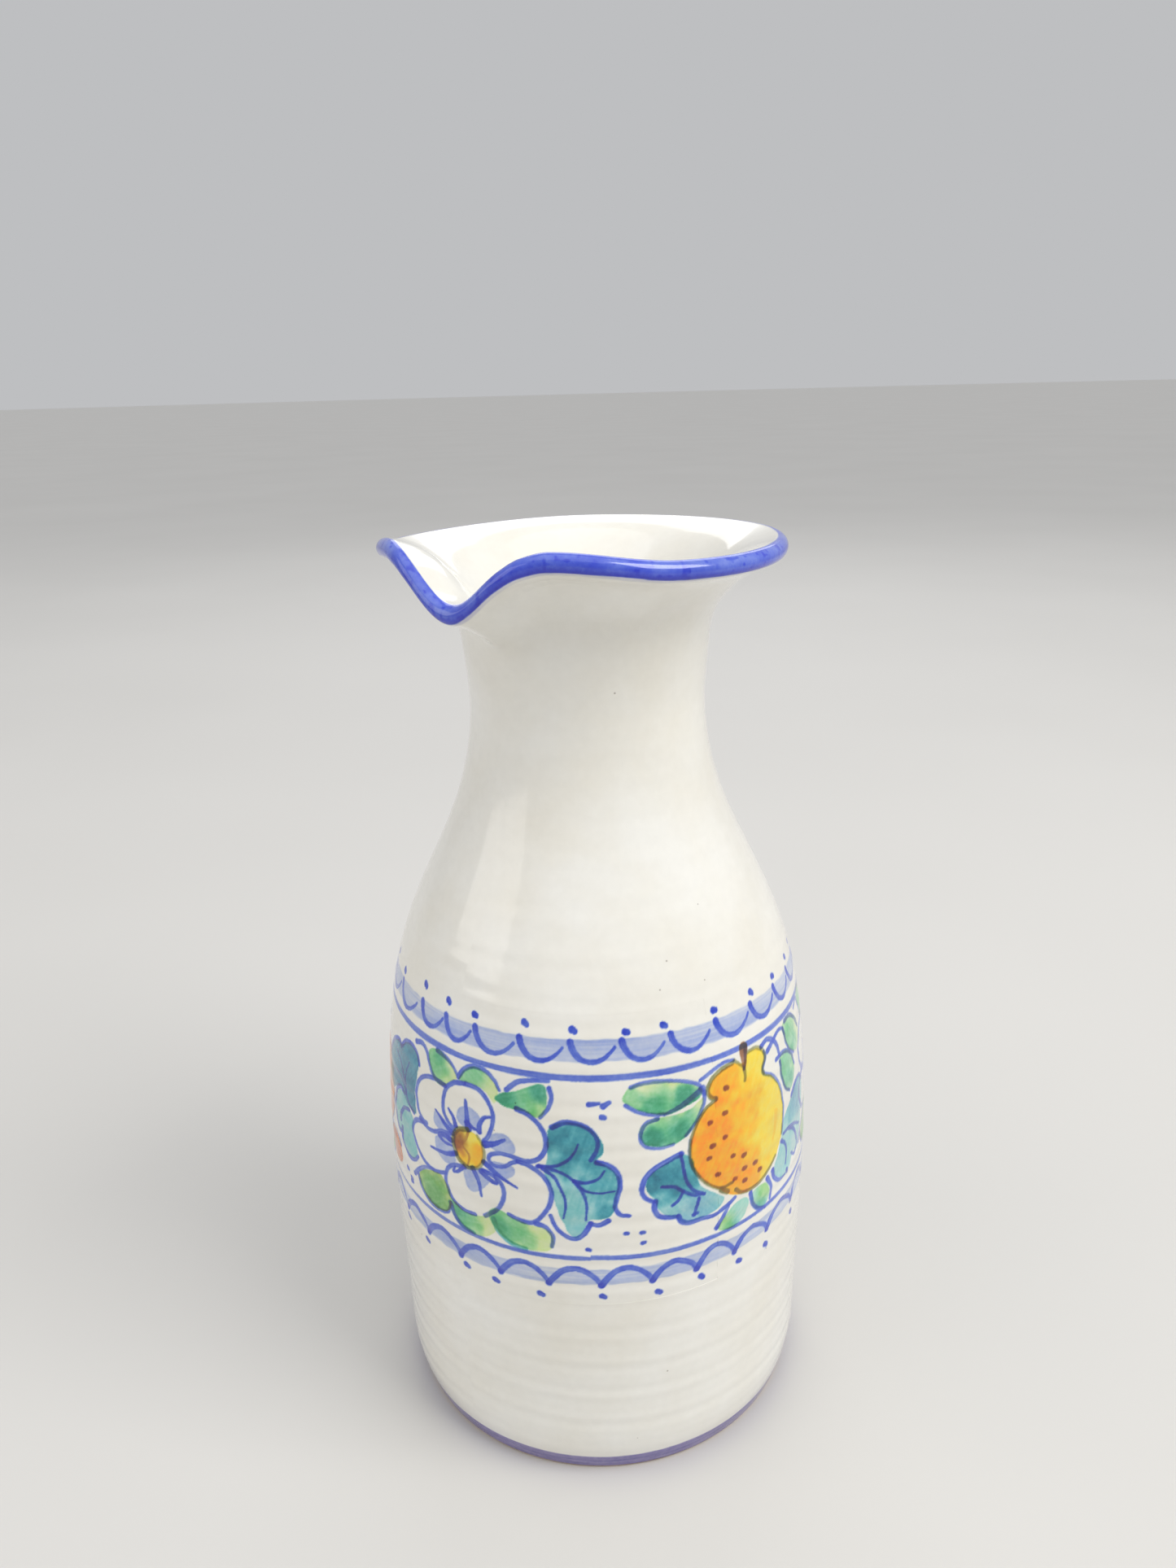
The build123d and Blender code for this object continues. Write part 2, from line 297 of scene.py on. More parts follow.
# ---- brush, wash and dot -------------------------------------------------------------------------
class Painting:
    """The painted bands rolled out flat: how thick each colour lies on each cell."""

    def __init__(self):
        self.columns = round(ROUND / CELL)
        self.step = ROUND / self.columns
        self.rows = round((CANVAS_HIGH - CANVAS_LOW) / CELL)
        self.coats = {name: np.zeros((self.rows, self.columns)) for name in PIGMENTS}
        self.shift = 0.0
        self.loose = 0.0
        self.strokes = 0

    def move_to(self, shift, loose):
        """What follows is painted this far round the pot, and drawn this many mm freer."""
        self.shift = shift
        self.loose = loose

    def window(self, line, margin):
        low = np.floor((line.min(axis=0) - margin - [0, CANVAS_LOW]) / [self.step, CELL]).astype(int)
        high = np.ceil((line.max(axis=0) + margin - [0, CANVAS_LOW]) / [self.step, CELL]).astype(int)
        columns = np.arange(low[0], high[0] + 1)
        rows = np.arange(max(low[1], 0), min(high[1], self.rows - 1) + 1)
        x, z = np.meshgrid(columns * self.step, CANVAS_LOW + rows * CELL)
        return np.ix_(rows, np.mod(columns, self.columns)), x, z

    def lay(self, pigment, cells, amount):
        """Adds a coat. Where it crosses an older one of the same colour, it is a little thicker."""
        coat = self.coats[pigment]
        coat[cells] = (coat[cells] ** 3 + np.maximum(amount, 0) ** 3) ** (1 / 3)

    def placed(self, points):
        """The points where they are painted, each nudged a little on the freer copies."""
        points = np.array(points, float) + [self.shift, 0]
        if self.loose:
            x, z = points[:, 0], points[:, 1]
            points = points + self.loose * np.stack(
                [grain(x / 7, z / 7, 21), grain(x / 7, z / 7, 22)], axis=1)
        return points

    def stroke(self, pigment, points, width=1.1, strength=1.0, start=1.1, end=0.7):
        """One pull of the brush: it lands full, and thins towards its end."""
        self.strokes += 1
        seed = self.strokes
        line = smooth_line(self.placed(points))
        cells, x, z = self.window(line, width + 0.6)
        gap = (x[..., None] - line[:, 0]) ** 2 + (z[..., None] - line[:, 1]) ** 2
        nearest = gap.argmin(axis=-1)
        run = np.concatenate([[0], np.cumsum(np.linalg.norm(np.diff(line, axis=0), axis=1))])
        along = run[nearest]
        share = along / run[-1]
        direction = np.gradient(line, axis=0)
        direction /= np.maximum(np.linalg.norm(direction, axis=1), 1e-9)[:, None]
        aside = ((x - line[nearest, 0]) * -direction[nearest, 1]
                 + (z - line[nearest, 1]) * direction[nearest, 0])
        half = width * STROKE_SPREAD / 2 * (start + (end - start) * share)
        half = half * (1 + 0.10 * grain(along / 3.1, 0.5, seed))
        far = np.sqrt(gap.min(axis=-1)) + 0.06 * grain(x / 0.5, z / 0.5, seed)
        cover = smooth_step(half + 0.16, half - 0.16, far)
        edge = np.exp(-((half - far) / 0.22) ** 2)
        hairs = grain(aside / width * 5.5, along / 5.0, seed + 500)
        landing = np.exp(-along / 1.3)
        body = 0.84 + 0.16 * edge + 0.17 * hairs + 0.13 * grain(x / 1.7, z / 1.7, seed + 900)
        self.lay(pigment, cells, strength * cover * (body + 0.28 * landing) * STROKE_LOAD)

    def fill(self, outline, coats, lie=0.0):
        """A closed shape washed with colours. Each coat is (colour, strength) all over it, or
        (colour, strength, x, z, reach) round one place. lie is the slope of the brush marks."""
        self.strokes += 1
        seed = self.strokes
        line = smooth_line(self.placed(outline), closed=True, spacing=0.45)
        cells, x, z = self.window(line, 0.9)
        gap = np.sqrt(((x[..., None] - line[:, 0]) ** 2 + (z[..., None] - line[:, 1]) ** 2).min(axis=-1))
        after = np.roll(line, -1, axis=0)
        inside = np.zeros(x.shape, bool)
        for (x0, z0), (x1, z1) in zip(line, after):
            if z0 != z1:
                crossing = (z0 > z) != (z1 > z)
                inside ^= crossing & (x < (x1 - x0) * (z - z0) / (z1 - z0) + x0)
        depth = np.where(inside, gap, -gap) + 0.22 * grain(x / 1.6, z / 1.6, seed)
        cover = smooth_step(-0.15, 0.30, depth)
        edge = np.exp(-((depth - 0.2) / 0.45) ** 2)
        across = z * math.cos(lie) - x * math.sin(lie)
        forward = x * math.cos(lie) + z * math.sin(lie)
        marks = grain(forward / 5.5, across / 0.55, seed + 300)
        pools = grain(x / 2.6, z / 2.6, seed + 600)
        speckle = grain(x / 0.55, z / 0.55, seed + 1200)
        texture = 0.86 + 0.12 * marks + 0.18 * pools + 0.08 * speckle + 0.18 * edge
        for pigment, strength, *focus in coats:
            amount = strength * cover * texture
            if focus:
                fx, fz, reach = focus
                fx, fz = self.placed([(fx, fz)])[0]
                far = np.hypot(x - fx, z - fz) / reach + 0.22 * grain(x / 2.1, z / 2.1, seed + 800)
                amount = amount * smooth_step(1.25, 0.35, far)
            self.lay(pigment, cells, amount)

    def dot(self, pigment, x, z, length=2.2, width=1.4, slant=-0.4, strength=1.05):
        """A touch of the loaded brush."""
        reach = (length - width) / 2
        dx, dz = reach * math.cos(slant), reach * math.sin(slant)
        self.stroke(pigment, [(x - dx, z - dz), (x, z + 0.05), (x + dx, z + dz)], width, strength, 1, 0.85)

    def light(self, x, height):
        """What the paint takes out of red, green and blue light at these places."""
        column = np.mod(x / self.step, self.columns)
        row = np.clip((height - CANVAS_LOW) / CELL, 0, self.rows - 1.001)
        left, low = np.floor(column).astype(int), np.floor(row).astype(int)
        fx, fz = (column - left)[..., None], (row - low)[..., None]
        right = np.mod(left + 1, self.columns)
        left = np.mod(left, self.columns)
        flat = self.flat
        blend = (flat[low, left] * (1 - fx) + flat[low, right] * fx) * (1 - fz)
        blend += (flat[low + 1, left] * (1 - fx) + flat[low + 1, right] * fx) * fz
        return blend

    def dry(self):
        """Adds up the coats of all the colours into the light that is taken out."""
        names = list(PIGMENTS)
        coats = np.stack([self.coats[name] for name in names], axis=-1)
        self.flat = coats @ np.array([PIGMENTS[name] for name in names])


# ---- the borders ---------------------------------------------------------------------------------
UPPER_STARTS = [-69.6, -55.0, -44.0, -33.5, -20.2, -6.7, 6.6, 19.6, 33.3, 46.4, 58.7, 70.3]
LOWER_JOINTS = [-64.2, -51.7, -38.8, -26.3, -13.3, -0.2, 12.6, 24.4, 36.1, 48.8, 62.7]
UPPER_DOT_SHIFTS = [0.0, 0.2, 0.2, -0.4, 1.4, 0.8, 1.3, -1.5, 0.1, 1.4, 1.1, 2.0]
UPPER_DOT_HEIGHTS = [131.8, 133.5, 132.9, 132.1, 132.8, 132.1, 131.3, 131.6, 131.9, 131.9, 131.7, 131.8]
LOWER_DOTS = [
    (-63.8, 60.9), (-52.6, 60.5), (-36.7, 61.4), (-27.7, 60.6), (-15.4, 59.9), (0.2, 60.4),
    (14.2, 59.9), (25.9, 60.8), (37.9, 60.0), (48.6, 58.9), (63.6, 59.4),
]
BACK_SPACING = 12.6


def round_the_back(front, seed):
    """The places of the front, and evenly spread, uneven by hand, the ones round the back."""
    gap = front[0] + ROUND - front[-1]
    count = round(gap / BACK_SPACING)
    spread = [front[-1] + gap * (i + 1) / count for i in range(count - 1)]
    return list(front) + [x + 1.1 * float(grain(x / 3.0, 0.5, seed)) for x in spread]


def band(painting, pigment, low, high, strength, seed):
    """A level stripe laid with a broad brush while the pot turns."""
    x = np.arange(painting.columns) * painting.step
    z = CANVAS_LOW + np.arange(painting.rows)[:, None] * CELL
    turn = x / ROUND
    sway = 0.35 * grain(9 * turn, 0.5, seed, period=9)
    ragged = 0.22 * grain(150 * turn, z / 0.4, seed + 1, period=150)
    cover = smooth_step(-0.2, 0.35, z - low - sway + ragged)
    cover = cover * smooth_step(-0.2, 0.35, high + sway - z + ragged)
    hairs = grain(26 * turn, z / 0.33, seed + 2, period=26)
    patches = grain(17 * turn, z / 3.5, seed + 3, period=17)
    amount = strength * cover * (0.82 + 0.22 * hairs + 0.30 * patches)
    painting.lay(pigment, np.ix_(np.arange(painting.rows), np.arange(painting.columns)), amount)


def ruled_line(painting, height, width, join, seed):
    """A thin line drawn round the turning pot. Its end meets its start a hair off, at join."""
    x = np.arange(painting.columns) * painting.step
    unrolled = np.mod(x - join, ROUND) + join
    z = CANVAS_LOW + np.arange(painting.rows)[:, None] * CELL
    turn = x / ROUND
    middle = height(unrolled) + 0.10 * grain(40 * turn, 0.5, seed, period=40)
    middle = middle + 0.25 * smooth_step(join + 14, join, unrolled)
    half = width / 2 * (1 + 0.22 * grain(22 * turn, 0.5, seed + 1, period=22))
    half = half * (0.75 + 0.25 * smooth_step(join + ROUND, join + ROUND - 3, unrolled))
    far = np.abs(z - middle) + 0.05 * grain(700 * turn, z / 0.5, seed + 2, period=700)
    cover = smooth_step(half + 0.14, half - 0.14, far)
    hairs = grain(60 * turn, (z - middle) / 0.25, seed + 3, period=60)
    amount = cover * (0.88 + 0.15 * hairs + 0.16 * grain(45 * turn, 0.5, seed + 4, period=45))
    painting.lay("cobalt", np.ix_(np.arange(painting.rows), np.arange(painting.columns)), amount)


def paint_upper_border(painting):
    band(painting, "cobalt", 124.6, 129.9, 0.38, 31)
    ruled_line(painting, lambda x: 120.9 - 0.5 * np.sin(2 * math.pi * (x + 6) / ROUND), 1.42, 150, 41)
    starts = round_the_back(UPPER_STARTS, 51)
    for i, x in enumerate(starts):
        after = starts[i + 1] if i + 1 < len(starts) else starts[0] + ROUND
        reach = min(after - x - 1.0, 11.8) * (0.96 + 0.05 * float(grain(i * 1.7, 0.5, 52)))
        sag = 124.6 + 0.5 * float(grain(i * 1.3, 2.5, 53))
        painting.stroke("cobalt", [
            (x, 129.3), (x + 0.05 * reach, 127.7), (x + 0.20 * reach, 125.6), (x + 0.44 * reach, sag),
            (x + 0.68 * reach, sag + 0.4), (x + 0.88 * reach, sag + 1.9), (x + reach, sag + 3.3),
        ], width=1.2, start=1.35, end=0.6)
    for i, x in enumerate(starts):
        front = i < len(UPPER_STARTS)
        shift = UPPER_DOT_SHIFTS[i] if front else 1.2 * float(grain(i * 1.9, 0.5, 54))
        height = UPPER_DOT_HEIGHTS[i] if front else 132.1 + 0.9 * float(grain(i * 1.9, 4.5, 55))
        painting.dot("cobalt", x + shift, height, 2.3, 1.45, -0.45 + 0.5 * float(grain(i * 2.3, 0.5, 56)))


def paint_lower_border(painting):
    band(painting, "cobalt", 63.9, 68.6, 0.34, 32)
    ruled_line(painting, lambda x: 72.05 - 0.42 * np.sin(2 * math.pi * (x + 6) / ROUND), 1.3, -2.6, 46)
    joints = round_the_back(LOWER_JOINTS, 57)
    for i, x in enumerate(joints):
        after = joints[i + 1] if i + 1 < len(joints) else joints[0] + ROUND
        reach = after - x
        crown = 68.7 + 0.9 * float(grain(i * 1.4, 0.5, 58))
        painting.stroke("cobalt", [
            (x, 63.9), (x + 0.10 * reach, 65.7), (x + 0.27 * reach, crown - 0.9), (x + 0.5 * reach, crown),
            (x + 0.72 * reach, crown - 0.9), (x + 0.90 * reach, 66.0), (x + 0.98 * reach, 64.4),
        ], width=1.4, start=1.15, end=0.9)
        painting.dot("cobalt", x + 0.1, 63.9, 2.1, 1.7, 0.9, strength=0.85)
    dots = round_the_back([x for x, _ in LOWER_DOTS], 59)
    for i, x in enumerate(dots):
        height = LOWER_DOTS[i][1] if i < len(LOWER_DOTS) else 60.3 + 0.9 * float(grain(i * 1.6, 3.5, 60))
        painting.dot("cobalt", x, height, 2.3, 1.5, -0.5 + 0.4 * float(grain(i * 2.7, 0.5, 61)))


# ---- the frieze: flowers -------------------------------------------------------------------------
def paint_flower(painting):
    """White petals drawn in blue round a brown and yellow eye at (-34.6, 97.5)."""
    blushes = [
        [(-37.9, 104.0), (-37.2, 107.6), (-33.6, 108.8), (-30.5, 107.0), (-30.4, 103.8), (-34.0, 102.6)],
        [(-46.5, 102.8), (-44.0, 103.2), (-40.6, 100.8), (-40.4, 98.2), (-45.8, 99.2)],
        [(-46.0, 96.2), (-40.4, 97.0), (-38.6, 92.0), (-42.0, 90.0), (-45.4, 92.0)],
        [(-36.0, 91.6), (-35.6, 87.2), (-33.4, 85.3), (-30.4, 87.2), (-28.0, 90.6), (-31.6, 92.8)],
        [(-27.6, 99.8), (-27.0, 103.6), (-23.4, 104.4), (-20.9, 101.6), (-21.8, 99.3)],
        [(-28.2, 95.6), (-22.0, 96.2), (-21.4, 93.6), (-25.6, 91.4)],
    ]
    for outline in blushes:
        painting.fill(outline, [("cobalt", 0.36)], lie=0.6)
    petals = [
        [(-35.7, 114.5), (-39.2, 113.6), (-41.8, 111.2), (-42.9, 107.8), (-42.6, 104.6), (-41.0, 102.2),
         (-38.9, 101.0)],
        [(-35.2, 114.6), (-31.4, 114.3), (-28.4, 112.0), (-26.9, 108.8), (-27.2, 105.4), (-28.4, 102.4),
         (-29.6, 100.9)],
        [(-20.4, 111.8), (-17.4, 110.8), (-14.5, 108.3), (-13.0, 105.3), (-13.1, 102.2), (-14.9, 99.4),
         (-18.0, 98.3), (-22.4, 98.9), (-25.4, 98.8), (-27.8, 97.6), (-28.1, 95.9), (-26.4, 95.0),
         (-23.8, 95.5), (-21.9, 97.0), (-20.2, 97.8)],
        [(-20.2, 97.8), (-17.6, 97.3), (-14.8, 95.7), (-12.6, 93.2), (-11.8, 90.2), (-12.4, 86.9),
         (-14.5, 83.3), (-16.4, 81.4), (-18.6, 81.0), (-21.0, 81.4), (-23.2, 82.1)],
        [(-29.9, 92.8), (-27.4, 92.2), (-25.3, 90.9), (-24.2, 88.5), (-24.6, 85.6), (-26.1, 82.8),
         (-28.4, 80.7), (-29.9, 79.6)],
        [(-35.6, 91.5), (-39.0, 90.8), (-41.4, 89.0), (-42.4, 86.4), (-42.2, 83.6), (-41.0, 81.1),
         (-38.8, 79.4), (-35.8, 78.6), (-32.9, 78.8)],
        [(-51.7, 97.5), (-54.6, 96.6), (-56.4, 94.6), (-56.6, 91.8), (-55.0, 89.0), (-52.6, 86.9),
         (-50.0, 85.8), (-47.0, 85.6), (-44.2, 86.3), (-42.6, 87.0)],
        [(-42.1, 111.7), (-45.8, 112.1), (-49.4, 111.4), (-52.2, 109.8), (-53.9, 107.6), (-54.5, 104.8),
         (-54.2, 102.0), (-52.9, 99.6), (-51.0, 98.2), (-49.6, 98.2)],
        [(-52.6, 98.0), (-50.2, 97.1), (-48.0, 96.9), (-45.8, 97.5), (-43.3, 98.8), (-40.4, 99.2)],
    ]
    for line in petals:
        painting.stroke("cobalt", line, width=1.15, strength=0.94, start=1.0, end=0.85)
    rays = [
        ([(-34.3, 103.0), (-34.6, 105.4), (-35.2, 110.2)], 1.5),
        ([(-30.9, 103.2), (-30.7, 105.3), (-29.4, 107.3), (-27.7, 107.9)], 1.2),
        ([(-38.5, 102.2), (-39.2, 104.4), (-40.9, 106.0)], 1.1),
        ([(-39.6, 99.8), (-42.8, 101.5), (-45.7, 103.7)], 1.2),
        ([(-29.2, 100.2), (-26.7, 101.0), (-23.7, 102.8)], 1.4),
        ([(-38.6, 94.3), (-42.1, 92.9), (-48.0, 92.1)], 1.1),
        ([(-40.2, 97.5), (-42.6, 98.0), (-44.5, 97.1), (-42.6, 96.0), (-40.0, 96.0)], 1.3),
        ([(-35.8, 91.8), (-38.0, 89.4), (-39.6, 88.8), (-38.9, 90.4)], 0.9),
        ([(-33.0, 92.2), (-31.4, 88.8), (-30.7, 85.1)], 1.2),
        ([(-29.6, 95.0), (-25.4, 92.6), (-20.6, 90.3)], 1.2),
        ([(-30.4, 92.2), (-28.4, 90.8), (-26.2, 90.2), (-26.8, 92.4)], 1.3),
        ([(-34.5, 104.3), (-32.6, 103.6), (-31.8, 103.4)], 1.3),
    ]
    for line, width in rays:
        painting.stroke("cobalt", line, width=width, strength=1.12, start=1.25, end=0.5)
    eye = [(-39.2, 97.4), (-38.4, 100.8), (-35.8, 102.4), (-32.6, 102.2), (-30.2, 100.0), (-29.8, 96.6),
           (-31.2, 93.4), (-34.0, 92.0), (-37.2, 93.2)]
    painting.fill(eye, [
        ("yellow", 0.95), ("orange", 0.75, -31.6, 96.0, 4.0), ("brown", 0.95, -38.0, 98.2, 3.6),
        ("orange", 0.6, -37.0, 95.0, 3.6)], lie=1.2)
    painting.stroke("brown", [(-34.3, 102.0), (-35.0, 99.8), (-36.2, 97.8), (-34.2, 95.4), (-34.6, 92.4)],
                    width=0.7, strength=0.55)
    painting.stroke("olive", [(-34.6, 102.5), (-38.0, 101.2), (-39.3, 97.6), (-37.8, 93.6), (-34.8, 92.0)],
                    width=1.1, strength=0.95, end=1.0)
    painting.stroke("olive", [(-34.0, 92.0), (-31.2, 93.2), (-29.6, 96.4), (-30.0, 99.8), (-31.6, 101.8)],
                    width=0.9, strength=0.6, end=0.8)


def paint_flower_leaves(painting):
    """Green leaves that look out from behind the petals, above and below."""
    painting.fill([(-49.3, 118.6), (-45.8, 120.2), (-41.6, 119.0), (-38.2, 115.4), (-40.6, 113.4),
                   (-43.0, 111.4), (-46.2, 111.7), (-48.4, 114.6)],
                  [("green", 0.85, -46.6, 116.4, 6.0), ("lime", 0.50), ("lime", 0.45, -42.4, 113.0, 3.6),
                   ("teal", 0.18, -45.0, 119.2, 3.0)], 0.5)
    painting.fill([(-37.6, 115.0), (-35.8, 118.2), (-32.4, 119.8), (-28.8, 118.9), (-25.6, 115.8),
                   (-26.4, 111.8), (-28.6, 113.8), (-31.4, 115.0), (-35.0, 115.0)],
                  [("green", 0.80, -33.8, 117.8, 5.5), ("lime", 0.48),
                   ("lime", 0.50, -27.2, 114.2, 4.0)], -0.5)
    painting.fill([(-26.4, 113.6), (-24.8, 114.9), (-20.4, 116.4), (-14.8, 119.0), (-12.6, 117.2),
                   (-12.9, 112.6), (-14.6, 110.2), (-18.2, 111.4), (-22.6, 111.6), (-26.0, 112.6)],
                  [("green", 0.95, -21.0, 114.4, 8.0), ("lime", 0.42), ("lime", 0.60, -15.4, 111.6, 4.0),
                   ("teal", 0.40, -25.2, 113.8, 4.5), ("teal", 0.50, -13.6, 117.0, 3.4)], 0.35)
    painting.fill([(-54.6, 79.6), (-52.0, 83.0), (-48.0, 85.0), (-44.0, 85.5), (-41.4, 82.0), (-40.9, 78.4),
                   (-42.8, 75.2), (-47.0, 74.2), (-51.4, 75.4)],
                  [("lime", 0.95), ("olive", 0.22), ("green", 0.80, -47.4, 78.0, 6.5)], 0.6)
    painting.fill([(-41.0, 80.4), (-36.2, 78.4), (-31.0, 79.0), (-28.4, 81.2), (-26.2, 78.2), (-28.6, 74.2),
                   (-33.4, 72.6), (-38.6, 74.8)],
                  [("green", 0.85, -36.8, 76.6, 6.0), ("lime", 0.50), ("lime", 0.50, -31.0, 77.4, 4.0),
                   ("teal", 0.26, -39.4, 76.6, 3.6)], 0.2)
    painting.fill([(-28.8, 81.0), (-26.4, 82.9), (-22.0, 81.4), (-17.0, 80.4), (-12.6, 79.6), (-11.6, 76.0),
                   (-13.4, 73.3), (-18.6, 73.0), (-23.6, 74.0), (-27.6, 77.4)],
                  [("green", 0.90, -24.0, 78.4, 6.5), ("lime", 0.58), ("lime", 0.50, -15.0, 77.0, 4.0),
                   ("green", 0.55, -18.4, 75.8, 3.2), ("teal", 0.28, -26.0, 77.8, 3.4)], -0.3)
    outlines = [
        [(-46.0, 119.8), (-42.2, 119.1), (-39.6, 117.6), (-38.3, 116.2)],
        [(-55.6, 118.4), (-52.6, 119.1), (-50.2, 117.8), (-49.0, 115.4), (-47.5, 113.2), (-45.0, 111.9),
         (-42.1, 111.6)],
        [(-37.8, 115.6), (-35.8, 118.3), (-32.9, 119.8), (-29.6, 119.6), (-26.7, 117.8), (-25.2, 115.6)],
        [(-23.2, 116.1), (-20.2, 118.6), (-15.8, 119.6), (-12.2, 119.8)],
        [(-12.0, 118.0), (-11.4, 115.6), (-12.4, 112.8), (-14.3, 110.4)],
        [(-57.0, 79.0), (-54.4, 81.8), (-50.8, 84.5), (-47.1, 85.7)],
        [(-54.8, 80.2), (-53.5, 76.8), (-50.2, 74.7), (-46.3, 74.2), (-42.6, 75.2), (-41.2, 78.0)],
        [(-41.0, 78.6), (-39.9, 75.4), (-37.4, 73.4), (-34.2, 72.8)],
        [(-16.0, 81.1), (-13.4, 80.3), (-11.8, 77.8), (-12.2, 74.8)],
    ]
    for line in outlines:
        painting.stroke("cobalt", line, width=1.05, strength=0.82, start=1.15, end=0.8)
    painting.stroke("teal", [(-54.0, 79.0), (-52.4, 76.4), (-49.4, 75.0), (-46.0, 74.7)], 1.0, 0.35)
    painting.stroke("teal", [(-41.2, 78.6), (-39.8, 75.6), (-37.2, 73.6), (-33.6, 72.9)], 1.4, 0.45)
    painting.stroke("teal", [(-27.4, 79.4), (-26.2, 76.2), (-23.0, 73.8), (-18.8, 73.0)], 1.3, 0.45)


def paint_teal_leaf(painting):
    """The three-lobed leaf right of the flower, with its veins fanning out of the petals."""
    painting.fill([
        (-12.3, 107.2), (-11.0, 109.0), (-8.2, 109.9), (-4.8, 109.6), (-1.9, 108.2), (0.2, 105.8),
        (1.2, 103.2), (0.8, 101.2), (-0.6, 99.8), (1.8, 98.4), (4.1, 96.2), (5.0, 93.6), (4.3, 90.2),
        (3.7, 86.8), (2.3, 84.2), (-0.3, 83.4), (-2.8, 83.2), (-4.0, 80.8), (-5.7, 77.6), (-7.8, 79.4),
        (-9.4, 82.8), (-10.7, 86.8), (-11.9, 91.2), (-13.5, 96.2), (-12.6, 99.8), (-12.6, 104.2)],
        [("teal", 0.32), ("teal", 0.98, -4.6, 104.0, 11.0), ("teal", 0.70, 0.8, 92.4, 8.0),
         ("teal", 1.05, -10.4, 106.4, 4.2), ("teal", 0.90, -5.6, 101.6, 4.0), ("teal", 0.95, 1.4, 85.4, 3.8),
         ("green", 0.22, -7.5, 86.0, 6.0)], 1.25)
    outlines = [
        [(-11.4, 108.2), (-8.2, 109.7), (-4.8, 109.4), (-2.0, 107.9), (-0.3, 105.2), (-0.6, 102.4),
         (-2.0, 100.0)],
        [(-0.6, 99.4), (2.2, 98.4), (4.3, 96.2), (4.9, 92.8), (4.0, 89.2), (3.6, 86.6), (4.8, 84.6),
         (6.9, 84.0)],
        [(1.8, 83.0), (-0.3, 81.8), (-2.4, 82.1)],
        [(-2.4, 82.4), (-3.4, 80.4), (-4.6, 78.8), (-6.2, 77.8), (-8.2, 78.2), (-10.3, 79.9), (-11.6, 82.0),
         (-12.2, 84.0)],
    ]
    for line in outlines:
        painting.stroke("cobalt", line, width=1.15, strength=1.0, end=0.8)
    veins = [
        [(-15.0, 97.4), (-10.7, 98.0), (-7.8, 99.7), (-6.0, 101.8), (-5.0, 104.2)],
        [(-14.6, 97.6), (-9.4, 96.3), (-6.1, 94.1), (-3.6, 91.7), (-0.3, 90.9), (3.6, 91.4)],
        [(-6.3, 94.2), (-3.2, 93.8), (-0.3, 94.9), (1.2, 97.0)],
        [(-6.1, 94.1), (-4.2, 91.2), (-3.3, 87.4), (-3.6, 83.2)],
        [(-14.0, 97.0), (-11.1, 94.9), (-9.4, 91.6), (-8.4, 87.8), (-9.0, 83.6)],
    ]
    for line in veins:
        painting.stroke("cobalt", line, width=0.72, strength=1.15, start=1.3, end=0.55)


def paint_far_teal_leaf(painting):
    """The broad dark leaf left of the flower, with a paler scroll under it."""
    painting.fill([
        (-53.6, 112.8), (-55.0, 115.2), (-58.4, 116.3), (-61.8, 115.4), (-64.6, 113.4), (-67.2, 113.5),
        (-70.4, 112.0), (-73.4, 109.9), (-75.6, 107.0), (-76.4, 103.2), (-75.0, 99.4), (-72.0, 97.2),
        (-68.0, 99.4), (-64.0, 101.2), (-60.0, 98.6), (-55.0, 98.2), (-55.4, 104.0), (-54.6, 109.0)],
        [("teal", 1.0), ("cobalt", 0.16), ("teal", 0.5, -60.0, 108.0, 8.0)], 0.9)
    painting.fill([
        (-69.4, 97.2), (-70.4, 93.2), (-69.6, 89.2), (-66.8, 87.2), (-64.4, 87.4), (-63.6, 84.6),
        (-60.0, 82.8), (-56.4, 83.8), (-54.8, 86.6), (-56.8, 91.0), (-56.6, 95.4), (-59.0, 98.0),
        (-64.0, 100.6)],
        [("teal", 0.32), ("green", 0.20)], 1.1)
    outlines = [
        [(-75.6, 106.8), (-73.2, 110.3), (-69.8, 112.8), (-66.8, 113.6), (-64.6, 112.8)],
        [(-64.8, 113.0), (-62.0, 115.6), (-58.3, 116.5), (-55.2, 115.5), (-53.4, 112.8)],
        [(-68.9, 97.0), (-67.5, 99.3), (-64.6, 101.1), (-61.6, 100.6)],
        [(-65.5, 90.9), (-64.3, 93.6), (-62.1, 96.1), (-58.8, 97.2)],
        [(-69.2, 96.6), (-70.1, 92.8), (-69.2, 89.1), (-66.7, 87.1), (-64.0, 87.6)],
        [(-64.3, 88.8), (-64.2, 85.8), (-62.2, 83.4), (-59.2, 82.6), (-56.4, 83.6), (-54.4, 85.7)],
    ]
    for line in outlines:
        painting.stroke("cobalt", line, width=1.15, strength=1.05, end=0.8)
    for line in ([(-56.0, 97.8), (-59.4, 99.6), (-61.0, 103.0), (-60.8, 107.4), (-59.0, 111.0)],
                 [(-60.6, 101.2), (-64.4, 104.4), (-70.4, 103.6), (-73.6, 101.0)],
                 [(-61.0, 104.0), (-65.0, 108.4), (-68.8, 110.0)]):
        painting.stroke("cobalt", line, width=0.8, strength=0.9, end=0.5)


